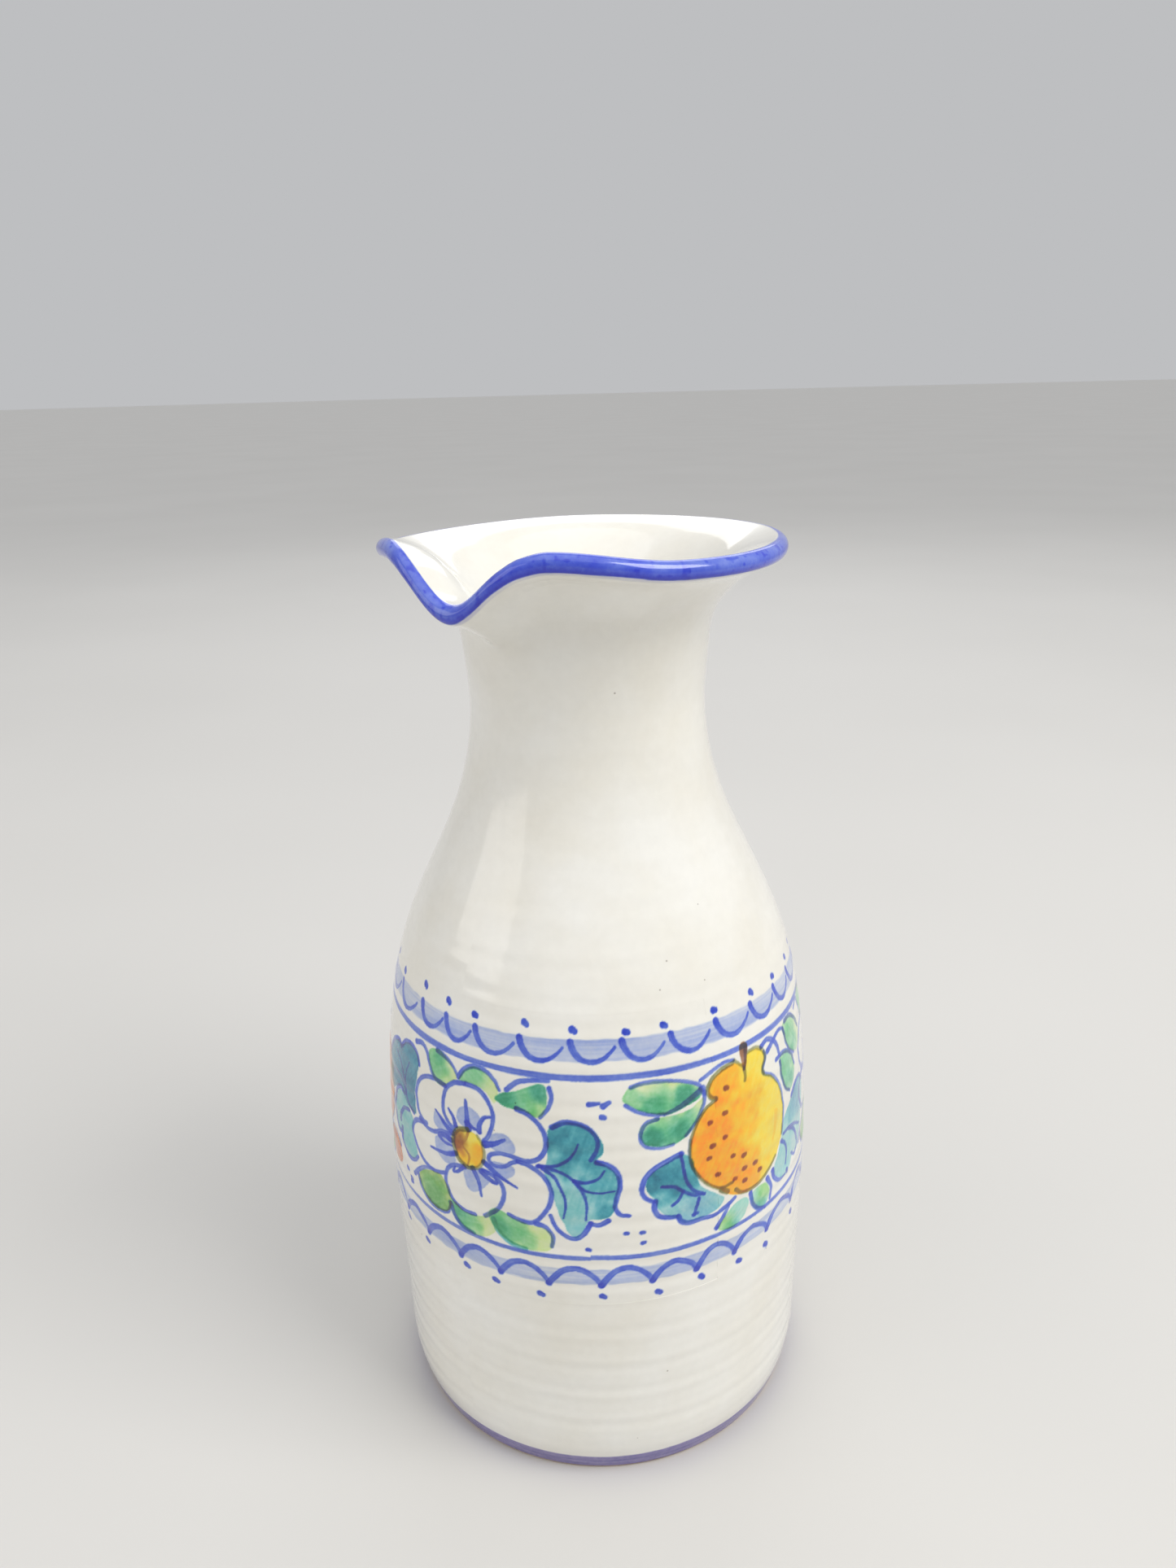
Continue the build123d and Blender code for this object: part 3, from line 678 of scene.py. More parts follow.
# ---- the frieze: fruit -------------------------------------------------------------------------
def paint_leaf_pair(painting):
    """Two long green leaves left of the fruit."""
    painting.fill([(6.2, 116.2), (8.1, 118.3), (11.8, 118.9), (16.0, 118.7), (20.6, 117.4), (24.8, 115.8),
                   (27.0, 114.0), (26.2, 112.2), (22.7, 111.0), (18.5, 109.9), (15.2, 110.1), (11.0, 111.6),
                   (8.1, 113.3), (6.4, 114.5)],
                  [("lime", 0.52), ("green", 1.05, 15.0, 111.8, 6.4), ("green", 0.66, 8.4, 114.8, 3.6),
                   ("green", 0.72, 21.8, 112.2, 5.4), ("teal", 0.52, 22.6, 111.8, 5.2),
                   ("teal", 0.26, 14.0, 111.2, 4.6)], -0.25)
    painting.fill([(9.8, 106.2), (11.0, 108.3), (14.3, 109.5), (19.3, 109.4), (23.5, 110.0), (27.2, 112.0),
                   (26.6, 108.7), (23.5, 104.5), (20.2, 102.0), (16.0, 101.6), (12.3, 102.4), (10.4, 104.1)],
                  [("lime", 0.44), ("green", 1.00, 16.0, 104.0, 7.0), ("green", 0.82, 22.8, 106.6, 4.8),
                   ("teal", 0.58, 12.4, 104.0, 4.4), ("teal", 0.42, 20.8, 104.6, 4.6)], 0.45)
    for line in ([(8.2, 118.1), (11.8, 118.8), (16.8, 118.5), (21.8, 117.4), (25.6, 115.8), (27.5, 113.6)],
                 [(6.8, 113.7), (9.3, 112.0), (13.5, 110.5), (17.0, 110.1)],
                 [(14.6, 109.2), (11.8, 108.6), (10.4, 106.6), (10.2, 104.5), (11.4, 102.4), (14.8, 101.4),
                  (18.5, 101.7)],
                 [(27.7, 113.2), (27.0, 109.9), (24.8, 106.2), (21.8, 103.3)]):
        painting.stroke("cobalt", line, width=0.95, strength=0.74, start=1.0, end=0.8)
    painting.stroke("cobalt", [(16.4, 110.0), (20.6, 111.2), (24.3, 112.8), (27.2, 114.2)],
                    1.1, 0.7, 0.7, 1.4)
    painting.stroke("cobalt", [(26.5, 114.4), (27.6, 112.6)], 1.1, 0.9, 1.0, 0.9)


def paint_low_teal_leaf(painting):
    """The scalloped leaf low on the left of the fruit."""
    painting.fill([
        (11.2, 92.8), (12.7, 94.9), (16.0, 97.0), (20.6, 98.6), (23.5, 96.0), (24.3, 92.0), (26.0, 87.8),
        (29.8, 84.5), (32.6, 82.2), (31.0, 80.0), (27.7, 79.1), (23.5, 78.6), (20.6, 79.1), (18.9, 80.8),
        (16.2, 82.4), (14.0, 84.8), (13.4, 87.4), (11.6, 90.0)],
        [("teal", 0.34), ("teal", 1.05, 16.8, 92.8, 8.0), ("teal", 0.90, 12.8, 91.4, 4.0),
         ("teal", 0.80, 22.0, 91.0, 5.6), ("teal", 0.40, 15.0, 87.4, 3.4),
         ("cobalt", 0.12, 24.0, 81.4, 6.0)], -0.9)
    outlines = [
        [(20.4, 98.7), (17.3, 97.8), (13.5, 96.2), (11.0, 93.8), (10.1, 90.8), (11.0, 88.4), (13.2, 86.9)],
        [(13.4, 87.0), (13.2, 84.8), (14.4, 82.6), (16.8, 81.6), (19.6, 81.2)],
        [(19.4, 81.2), (20.2, 79.6), (22.4, 78.6), (25.8, 78.6), (29.4, 78.2), (33.4, 79.3), (36.0, 80.5)],
    ]
    for line in outlines:
        painting.stroke("cobalt", line, width=1.25, strength=0.98, start=1.05, end=0.8)
    veins = [
        [(20.2, 98.9), (20.8, 95.3), (21.5, 91.2), (23.5, 87.6), (26.5, 85.6)],
        [(15.2, 90.8), (18.4, 90.0), (20.6, 88.2), (23.6, 86.2), (25.8, 85.8)],
        [(20.8, 88.2), (19.4, 86.0), (17.8, 84.9)],
        [(25.0, 84.8), (24.2, 82.2), (23.8, 80.4)],
    ]
    for line in veins:
        painting.stroke("cobalt", line, width=0.85, strength=1.1, start=1.0, end=0.95)
    painting.dot("cobalt", 24.0, 80.5, 2.2, 1.0, 0.2, 0.9)


def paint_right_leaves(painting):
    """Two green leaves on curling tendrils right of the fruit."""
    painting.fill([(59.5, 117.6), (62.3, 119.0), (65.9, 118.6), (70.0, 116.1), (72.7, 112.5), (72.6, 109.2),
                   (69.5, 107.0), (65.9, 107.9), (62.7, 110.2), (60.5, 113.8)],
                  [("lime", 0.42), ("green", 0.90, 62.8, 113.6, 7.0), ("teal", 0.20, 66.4, 108.6, 4.0)], -0.9)
    painting.fill([(56.4, 110.8), (58.6, 111.5), (62.3, 110.2), (65.0, 107.0), (65.9, 102.9), (64.1, 99.7),
                   (61.4, 98.8), (58.6, 100.6), (56.8, 104.3), (56.1, 107.9)],
                  [("lime", 0.36), ("green", 0.95, 59.6, 106.4, 6.5), ("teal", 0.26, 62.0, 100.4, 4.4)], -1.2)
    for line, width in (
            ([(61.6, 118.6), (65.5, 118.5), (69.1, 116.1), (72.3, 112.0)], 1.1),
            ([(60.0, 117.2), (60.9, 113.4), (63.2, 109.7), (66.2, 107.5)], 0.9),
            ([(54.5, 111.2), (58.2, 111.4), (61.8, 110.2), (64.5, 107.5), (65.8, 104.4)], 1.0),
            ([(56.4, 109.8), (56.8, 105.6), (58.6, 101.1), (61.4, 98.9)], 0.9),
            ([(48.2, 117.6), (50.9, 118.4), (53.6, 117.1), (55.5, 114.7), (56.5, 111.5)], 1.2),
            ([(50.5, 115.4), (53.6, 116.8), (57.3, 118.1), (59.7, 117.6)], 1.1)):
        painting.stroke("cobalt", line, width=width, strength=0.86, start=1.15, end=0.8)


def paint_right_teal_leaf(painting):
    """The paler lobed leaf right of the fruit."""
    painting.fill([
        (55.2, 87.6), (56.6, 92.4), (60.0, 94.9), (62.6, 96.8), (66.0, 98.4), (70.0, 98.4), (72.9, 96.0),
        (73.2, 92.6), (71.6, 87.6), (69.4, 82.2), (67.2, 78.0), (63.4, 78.5), (59.1, 75.2), (55.5, 75.8),
        (52.4, 78.4), (51.4, 81.0), (53.6, 84.6)],
        [("teal", 0.26), ("teal", 0.50, 64.4, 94.0, 8.5), ("cobalt", 0.18, 67.0, 94.0, 7.0),
         ("green", 0.12, 56.0, 81.0, 6.0)], 1.1)
    for line, width in (
            ([(62.4, 96.8), (65.9, 98.5), (70.1, 98.5), (73.0, 95.8)], 1.2),
            ([(50.9, 80.8), (51.8, 78.0), (54.5, 75.7), (58.0, 75.3)], 1.2),
            ([(55.5, 87.0), (57.4, 85.2), (58.5, 82.0), (58.2, 78.4)], 0.9),
            ([(56.6, 88.6), (60.4, 88.4), (64.4, 87.0), (68.8, 84.4)], 0.9),
            ([(60.2, 88.2), (63.6, 86.0), (65.8, 82.4), (66.8, 79.4), (64.6, 77.6), (62.0, 79.4)], 1.0),
            ([(58.8, 76.2), (59.4, 75.0)], 1.0)):
        painting.stroke("cobalt", line, width=width, strength=0.88, start=1.1, end=0.7)


def paint_low_leaves(painting):
    """Two small green leaves under the fruit."""
    painting.fill([(30.6, 73.8), (33.2, 77.0), (36.8, 78.8), (40.0, 78.6), (40.9, 76.4), (39.1, 73.4),
                   (35.5, 71.9), (31.9, 72.4)],
                  [("green", 0.62, 37.4, 76.0, 5.0), ("lime", 0.7, 32.4, 73.6, 4.4), ("green", 0.38),
                   ("teal", 0.22, 35.0, 72.2, 3.0)], 0.7)
    painting.fill([(41.8, 78.4), (44.5, 79.4), (47.7, 78.8), (49.5, 76.1), (49.1, 73.4), (46.8, 72.1),
                   (43.6, 73.0), (41.8, 75.6)],
                  [("green", 0.62, 43.8, 76.2, 4.4), ("lime", 0.7, 46.8, 77.0, 4.0), ("green", 0.32),
                   ("teal", 0.34, 45.8, 73.0, 3.0)], -0.9)
    for line in ([(30.2, 74.0), (31.8, 76.2), (33.8, 78.8)],
                 [(41.6, 79.0), (42.2, 75.7), (44.5, 72.8), (47.5, 71.5)],
                 [(48.4, 79.9), (49.9, 77.1), (50.2, 74.8), (49.8, 72.9)]):
        painting.stroke("cobalt", line, width=1.15, strength=0.85, end=0.8)


PIPS = [
    (34.3, 112.0), (28.8, 104.6), (33.5, 105.6), (33.2, 99.1), (29.3, 98.1), (28.2, 95.0), (35.5, 92.9),
    (39.2, 91.5), (30.6, 89.6), (39.4, 87.6), (43.4, 87.3), (36.1, 86.0), (45.1, 84.4), (39.4, 84.1),
]


def paint_pear(painting):
    """The ripe fruit, orange on the left and yellow on the right, freckled and with a short stem."""
    body = [
        (30.7, 110.0), (27.7, 108.6), (25.0, 105.6), (23.4, 102.0), (22.9, 98.4), (23.5, 94.7), (25.2, 91.1),
        (27.7, 87.9), (30.8, 85.2), (33.8, 82.6), (36.8, 81.0), (40.0, 80.3), (43.6, 80.3), (47.3, 81.3),
        (50.9, 83.4), (53.6, 86.1), (55.6, 89.7), (56.5, 93.8), (56.6, 97.5), (55.9, 101.5), (54.0, 105.3),
        (51.4, 108.4), (48.6, 110.2), (47.8, 112.0), (49.1, 114.3), (48.4, 116.6), (45.9, 118.1),
        (42.7, 118.2), (40.7, 116.4), (37.4, 117.4), (33.2, 117.0), (30.2, 115.5), (28.9, 113.4),
        (28.9, 111.2)]
    painting.fill(body, [
        ("yellow", 1.15), ("orange", 1.25, 27.5, 97.0, 15.0), ("orange", 0.75, 34.0, 103.0, 12.0),
        ("orange", 0.95, 33.5, 113.5, 7.5), ("orange", 1.05, 37.0, 85.0, 11.0),
        ("orange", 0.35, 42.0, 106.0, 7.0),
        ("brown", 0.07, 45.0, 105.0, 4.5), ("brown", 0.07, 52.4, 94.4, 3.6)], 1.0)
    painting.stroke("orange", [(52.8, 97.4), (52.2, 93.4), (50.8, 90.2)], 1.5, 0.26, 1.0, 0.6)
    painting.stroke("orange", [(45.6, 106.4), (43.6, 103.0)], 2.0, 0.25, 1.0, 0.6)
    for i, (x, z) in enumerate(PIPS):
        size = 1.0 + 0.22 * float(grain(i * 1.7, 0.5, 71))
        painting.dot("brown", x, z, 1.75 * size, 1.15 * size, 0.3 * float(grain(i * 2.1, 0.5, 72)), 0.85)
    outlines = [
        ("olive", [(30.9, 110.2), (27.7, 108.7), (25.0, 105.7), (23.3, 102.0), (22.7, 98.2), (23.3, 94.5),
                   (25.1, 90.9), (27.7, 87.8), (31.2, 85.4), (35.2, 85.4)], 0.85, 0.78),
        ("olive", [(31.6, 84.8), (33.4, 83.4)], 1.6, 0.9),
        ("olive", [(36.2, 82.8), (38.2, 81.0), (41.6, 80.3), (45.4, 80.6), (49.2, 82.4), (52.0, 84.6)],
         1.05, 0.72),
        ("olive", [(30.8, 110.3), (29.2, 111.3), (28.6, 113.4), (30.2, 115.8), (33.4, 117.2), (37.0, 117.6)],
         1.15, 0.8),
        ("olive", [(42.7, 118.4), (45.9, 118.3), (48.5, 116.6), (49.2, 114.2), (47.8, 112.1), (48.2, 110.4)],
         1.0, 0.6),
        ("cobalt", [(48.9, 116.0), (49.3, 114.0), (48.0, 112.0), (48.2, 110.4), (51.6, 108.3), (54.3, 105.2),
                    (56.0, 101.5), (56.7, 97.4), (56.5, 93.4), (55.4, 89.4)], 0.95, 0.62),
        ("cobalt", [(23.0, 101.6), (22.6, 98.2), (23.2, 94.4), (25.0, 90.8)], 0.8, 0.30),
        ("cobalt", [(26.6, 116.4), (30.5, 117.8), (34.5, 118.7), (37.4, 118.2)], 0.9, 0.72),
        ("olive", [(40.7, 114.8), (41.0, 113.2), (40.7, 111.7)], 0.9, 0.7),
        ("olive", [(37.6, 118.0), (39.4, 116.4), (40.4, 115.4)], 0.8, 0.6),
    ]
    for pigment, line, width, strength in outlines:
        painting.stroke(pigment, line, width=width, strength=strength, start=1.0, end=0.9)
    painting.stroke("brown", [(41.2, 120.0), (41.0, 117.4), (40.7, 114.8)], 2.8, 0.75, 1.0, 0.35)
    painting.stroke("violet", [(41.9, 120.0), (41.6, 117.4), (40.8, 114.9)], 1.3, 0.6, 1.0, 0.5)


def paint_lemon(painting):
    """The yellow fruit at the back, with a pointed end."""
    body = [
        (26.0, 97.0), (28.2, 90.4), (33.4, 85.6), (39.8, 83.6), (46.4, 85.4), (51.2, 89.6), (54.6, 92.6),
        (58.2, 93.4), (57.2, 97.2), (54.6, 100.8), (51.2, 106.4), (45.6, 110.6), (38.8, 111.8), (32.0, 109.4),
        (27.6, 104.2)]
    painting.fill(body, [
        ("yellow", 1.05), ("lime", 0.40, 31.0, 92.0, 8.0), ("orange", 0.45, 47.0, 104.0, 9.0),
        ("orange", 0.40, 36.0, 87.0, 8.0)], 0.5)
    for i, (x, z) in enumerate(PIPS[1:]):
        painting.dot("brown", x + 3.0, z, 1.3, 0.85, 0.4 * float(grain(i * 1.9, 0.5, 73)), 0.6)
    painting.stroke("olive", body + [body[0]], 1.0, 0.75, 1.0, 0.9)
    painting.stroke("cobalt", body[5:12], 0.9, 0.55, 1.0, 0.8)
    painting.stroke("brown", [(29.4, 108.6), (27.6, 111.4), (27.4, 114.0)], 1.9, 0.8, 0.8, 1.1)


def paint_pomegranate(painting):
    """The red fruit at the back, with its little crown."""
    body = [
        (23.6, 96.0), (25.4, 88.6), (31.0, 83.0), (38.8, 80.8), (46.4, 82.6), (52.4, 88.0), (54.6, 95.6),
        (52.6, 103.2), (47.2, 108.6), (42.6, 110.6), (43.8, 114.6), (40.6, 112.6), (39.4, 115.8),
        (37.4, 112.6), (34.0, 114.4), (35.0, 110.4), (29.6, 108.0), (25.2, 102.8)]
    painting.fill(body, [
        ("yellow", 0.50), ("red", 0.62), ("orange", 0.40, 46.0, 99.0, 11.0), ("red", 0.5, 30.0, 92.0, 10.0),
        ("brown", 0.2, 32.0, 86.0, 8.0)], 1.0)
    painting.fill([(37.6, 101.4), (42.4, 100.2), (45.0, 94.0), (41.2, 88.4), (37.2, 91.6), (36.2, 97.4)],
                  [("yellow", 0.7), ("orange", 0.4)], 0.8)
    for i, (x, z) in enumerate([(39.6, 98.6), (42.0, 97.4), (39.0, 95.2), (42.2, 93.8), (39.8, 91.8)]):
        painting.dot("red", x, z, 2.3, 1.7, 0.6 * float(grain(i * 1.3, 0.5, 74)), 1.1)
    painting.stroke("cobalt", body[:9] + body[9:10], 0.95, 0.75, 1.0, 0.8)
    painting.stroke("cobalt", body[9:] + [body[0]], 1.0, 0.8, 1.0, 0.9)


def paint_dots(painting, places, size=1.0):
    for i, (x, z) in enumerate(places):
        painting.dot("cobalt", x, z, 1.9 * size, 1.2 * size, 0.5 * float(grain(i * 1.7 + x, 0.5, 75)), 0.95)


def paint_frieze(painting):
    """Three flowers and three fruits with their leaves, going round the pot."""
    second, third = 125.4, 244.9
    for shift, loose in ((0.0, 0.0), (second, 0.9), (third, 0.9)):
        painting.move_to(shift, loose)
        paint_flower_leaves(painting)
        paint_flower(painting)
        paint_teal_leaf(painting)
    painting.move_to(0.0, 0.0)
    paint_far_teal_leaf(painting)
    for paint_fruit, shift, loose in ((paint_pear, 0.0, 0.0), (paint_lemon, 123.8, 0.9),
                                      (paint_pomegranate, 241.2, 0.9)):
        painting.move_to(shift, loose)
        paint_leaf_pair(painting)
        paint_low_teal_leaf(painting)
        paint_low_leaves(painting)
        if shift < 200:
            paint_right_leaves(painting)
            paint_right_teal_leaf(painting)
        paint_fruit(painting)
        paint_dots(painting, [(6.2, 79.0), (10.2, 78.7), (10.4, 75.6), (-3.1, 74.6)], 0.85)
        painting.stroke("cobalt", [(-2.2, 114.4), (-1.0, 114.5), (0.3, 114.6)], 1.1, 0.95)
        painting.stroke("cobalt", [(1.3, 113.9), (2.8, 114.8)], 1.3, 0.95)
        paint_dots(painting, [(1.2, 111.1)])
    painting.move_to(0.0, 0.0)
    painting.fill([(-79.0, 79.4), (-76.0, 83.2), (-71.0, 83.8), (-66.4, 81.6), (-65.6, 78.0), (-69.0, 75.4),
                   (-75.0, 75.6)], [("red", 0.62), ("orange", 0.35), ("brown", 0.4, -76.0, 82.0, 4.5)], 0.4)
    painting.stroke("cobalt", [(-79.0, 79.4), (-76.4, 83.4), (-71.4, 84.2), (-66.4, 82.0)], 1.1, 0.75)
    paint_dots(painting, [(-61.4, 77.9), (-59.2, 76.2), (-59.2, 75.2)])


painting = Painting()
paint_upper_border(painting)
paint_lower_border(painting)
paint_frieze(painting)
painting.dry()


# ---- colour of every point of the skin --------------------------------------------------------
FOOT_LINE = (0.6, 5.3)
LIP_BLEED = 0.35


def taken_out(angle, walk):
    """The light taken out of red, green and blue by the colours at these points of the skin,
    and by the painted shade along the lower edge of the lip's blue.
    """
    angle, walk = np.broadcast_arrays(angle, walk)
    turn = angle / (2 * math.pi)
    radius, height = meridian.place(walk)[:2]
    x = (angle - FRONT) * PAINT_RADIUS
    outside = (walk < meridian.wall_end) & (height > CANVAS_LOW) & (height < CANVAS_HIGH - 1)
    amount = np.where(outside[..., None], painting.light(x, height), 0.0)

    low, high = FOOT_LINE
    near_foot = walk < meridian.at_height(10)
    sway = 0.22 * grain(24 * turn, 0.5, 81, period=24) + 0.08 * grain(160 * turn, 0.5, 82, period=160)
    line = smooth_step(0.25, -0.25, height - high - sway) * smooth_step(-0.1, 0.2, height - low)
    line = line * (0.86 + 0.16 * grain(60 * turn, height / 0.5, 83, period=60)
                   + 0.20 * grain(14 * turn, 0.5, 84, period=14))
    amount += (line * near_foot)[..., None] * np.array(PIGMENTS["violet"]) * 1.15

    starts, ends = meridian.on_lip(BLUE_STARTS), meridian.on_lip(BLUE_ENDS)
    sway = 0.6 * grain(30 * turn, 0.5, 85, period=30) + 0.4 * grain(110 * turn, 0.5, 86, period=110)
    sway = LIP_BLEED * sway
    inner_sway = LIP_BLEED * 0.6 * grain(44 * turn, 0.5, 87, period=44)
    blue = smooth_step(-0.22, 0.22, walk - starts + sway) * smooth_step(0.25, -0.2, walk - ends + inner_sway)
    clouds = grain(70 * turn, walk / 2.6, 88, period=70)
    flecks = smooth_step(0.35, 0.8, grain(260 * turn, walk / 0.9, 89, period=260))
    # The blue is a little paler along the upper outer face of the lip's roll.
    paler_upper_face = smooth_step(0.9, 0.1, np.abs(walk - meridian.on_lip(math.radians(42))) / 2.2)
    strength = 1.12 + 0.26 * clouds + 0.40 * flecks - 0.22 * paler_upper_face
    # Painted shade: the blue is made darker along its lower edge, on the underside of the lip's roll.
    strength += 0.75 * smooth_step(1.5, 0.1, walk - starts)
    amount += (blue * strength)[..., None] * np.array(PIGMENTS["lip blue"])
    halo = smooth_step(-1.9, -1.0, walk - starts) * smooth_step(0.5, -0.1, walk - starts)
    halo = halo * (0.8 + 0.4 * grain(50 * turn, 0.5, 90, period=50))
    amount += halo[..., None] * np.array(PIGMENTS["lip halo"])
    return amount


# ---- meshes -------------------------------------------------------------------------------------
def build_mesh(name, points, faces):
    """Mesh in metres from arrays of faces of any one size each."""
    mesh = bpy.data.meshes.new(name)
    mesh.vertices.add(len(points))
    mesh.vertices.foreach_set("co", (points / 1000).astype(np.float32).ravel())
    corners = np.concatenate([block.ravel() for block in faces])
    sizes = np.concatenate([np.full(len(block), block.shape[1]) for block in faces])
    mesh.loops.add(len(corners))
    mesh.loops.foreach_set("vertex_index", corners.astype(np.int32))
    mesh.polygons.add(len(sizes))
    starts = np.concatenate([[0], np.cumsum(sizes)[:-1]])
    mesh.polygons.foreach_set("loop_start", starts.astype(np.int32))
    mesh.update(calc_edges=True)
    mesh.validate()
    return mesh


def stations(start, end, coarse, fine, fine_at, reach=2.6):
    """Distances from start to end, closer together near the painted edges."""
    places = [start]
    while places[-1] < end:
        near = min([abs(places[-1] - edge) for edge in fine_at] + [1e9])
        places.append(places[-1] + (fine if near < reach else coarse))
    places = np.array(places)
    return start + (places - start) * (end - start) / (places[-1] - start)


def glaze_shell(name, walk, columns, first=0.0, last=2 * math.pi):
    """A closed shell of glaze: the skin over its own hidden back, COAT under it. The back has one
    point for every BACK_STRIDE points of the skin."""
    closed = last - first > 2 * math.pi - 1e-6
    angle = np.linspace(first, last, columns + 1)
    if closed:
        angle = angle[:-1]
    rows, wide = len(walk), len(angle)
    outer = skin(angle[None, :], walk[:, None])
    row_picks = np.unique(np.linspace(0, rows - 1, max(2, rows // BACK_STRIDE + 1)).round().astype(int))
    column_picks = np.arange(0, columns + (0 if closed else 1), BACK_STRIDE)
    back = skin(angle[None, column_picks], walk[row_picks][:, None], COAT)
    backs, back_wide = len(row_picks), len(column_picks)
    points = np.concatenate([outer.reshape(-1, 3), back.reshape(-1, 3)])

    def front(i, j):
        return np.asarray(i) * wide + np.mod(j, wide)

    def behind(i, j):
        return rows * wide + np.asarray(i) * back_wide + np.mod(j, back_wide)

    steps = wide if closed else wide - 1
    i, j = (k.ravel() for k in np.meshgrid(np.arange(rows - 1), np.arange(steps), indexing="ij"))
    faces = [np.stack([front(i, j), front(i, j + 1), front(i + 1, j + 1), front(i + 1, j)], axis=1)]
    skin_faces = len(faces[0])
    back_steps = back_wide if closed else back_wide - 1
    i, j = (k.ravel() for k in np.meshgrid(np.arange(backs - 1), np.arange(back_steps), indexing="ij"))
    faces.append(np.stack([behind(i, j), behind(i + 1, j), behind(i + 1, j + 1), behind(i, j + 1)], axis=1))
    spread = np.arange(BACK_STRIDE + 1)
    for c in range(back_steps):
        chain = c * BACK_STRIDE + spread
        faces.append(np.concatenate([front(0, chain[::-1]), behind(0, [c, c + 1])])[None])
        faces.append(np.concatenate([front(rows - 1, chain), behind(backs - 1, [c + 1, c])])[None])
    if not closed:
        for r in range(backs - 1):
            chain = np.arange(row_picks[r], row_picks[r + 1] + 1)
            faces.append(np.concatenate([front(chain, 0), behind([r + 1, r], 0)])[None])
            far_side = [front(chain[::-1], wide - 1), behind([r, r + 1], back_wide - 1)]
            faces.append(np.concatenate(far_side)[None])

    mesh = build_mesh(name, points, faces)
    smooth = np.zeros(len(mesh.polygons), bool)
    smooth[:skin_faces] = True
    mesh.polygons.foreach_set("use_smooth", smooth)
    mesh.update()
    normals = np.zeros(len(mesh.loops) * 3, np.float32)
    mesh.corner_normals.foreach_get("vector", normals)
    normals = normals.reshape(-1, 3)
    exact = skin_normals(angle[None, :], walk[:, None]).reshape(-1, 3)
    normals[:skin_faces * 4] = exact[faces[0].ravel()]
    mesh.normals_split_custom_set(normals.tolist())

    # What the colours let through: the brushwork, and on the lip a painted shade under its blue.
    light = np.ones((len(points), 4))
    light[:rows * wide, :3] = np.exp(-taken_out(angle[None, :], walk[:, None])).reshape(-1, 3)
    light[:, 3] = 1 - light[:, :3].mean(axis=1)
    paint_and_shade = mesh.attributes.new("paint_and_shade", "FLOAT_COLOR", "POINT")
    paint_and_shade.data.foreach_set("color", light.astype(np.float32).ravel())
    piece = bpy.data.objects.new(name, mesh)
    bpy.context.collection.objects.link(piece)
    return piece


# ---- materials -----------------------------------------------------------------------------------
def node(tree, kind, inputs=None, **settings):
    made = tree.nodes.new(kind)
    for key, value in settings.items():
        setattr(made, key, value)
    for key, value in (inputs or {}).items():
        if isinstance(value, bpy.types.NodeSocket):
            tree.links.new(value, made.inputs[key])
        else:
            made.inputs[key].default_value = value
    return made


def fresh_material(name):
    material = bpy.data.materials.new(name)
    material.use_nodes = True
    tree = material.node_tree
    tree.nodes.clear()
    shader = node(tree, "ShaderNodeBsdfPrincipled")
    out = node(tree, "ShaderNodeOutputMaterial")
    tree.links.new(shader.outputs[0], out.inputs[0])
    place = node(tree, "ShaderNodeTexCoord").outputs["Object"]
    return material, tree, shader, place


def noise(tree, place, scale, detail=3.0, roughness=0.5):
    """A noise of this many hills per metre."""
    return node(tree, "ShaderNodeTexNoise", {
        "Vector": place, "Scale": scale, "Detail": detail, "Roughness": roughness}).outputs[0]


def spread_out(tree, value, low, high, to_low, to_high):
    return node(tree, "ShaderNodeMapRange", {
        0: value, 1: low, 2: high, 3: to_low, 4: to_high}, clamp=True).outputs[0]


def mixed(tree, kind, factor, a, b):
    made = node(tree, "ShaderNodeMix", {0: factor, 6: a, 7: b}, data_type="RGBA", blend_type=kind)
    return made.outputs[2]


def specks(tree, place, scale, share, size):
    """1 on small spots: one cell in so many holds one, of this size in cells."""
    cells = node(tree, "ShaderNodeTexVoronoi", {"Vector": place, "Scale": scale, "Randomness": 1.0})
    near = spread_out(tree, cells.outputs["Distance"], size, size * 0.45, 0.0, 1.0)
    pick = node(tree, "ShaderNodeSeparateColor", {0: cells.outputs["Color"]}).outputs[0]
    chosen = node(tree, "ShaderNodeMath", {0: pick, 1: share}, operation="LESS_THAN").outputs[0]
    return node(tree, "ShaderNodeMath", {0: near, 1: chosen}, operation="MULTIPLY").outputs[0]


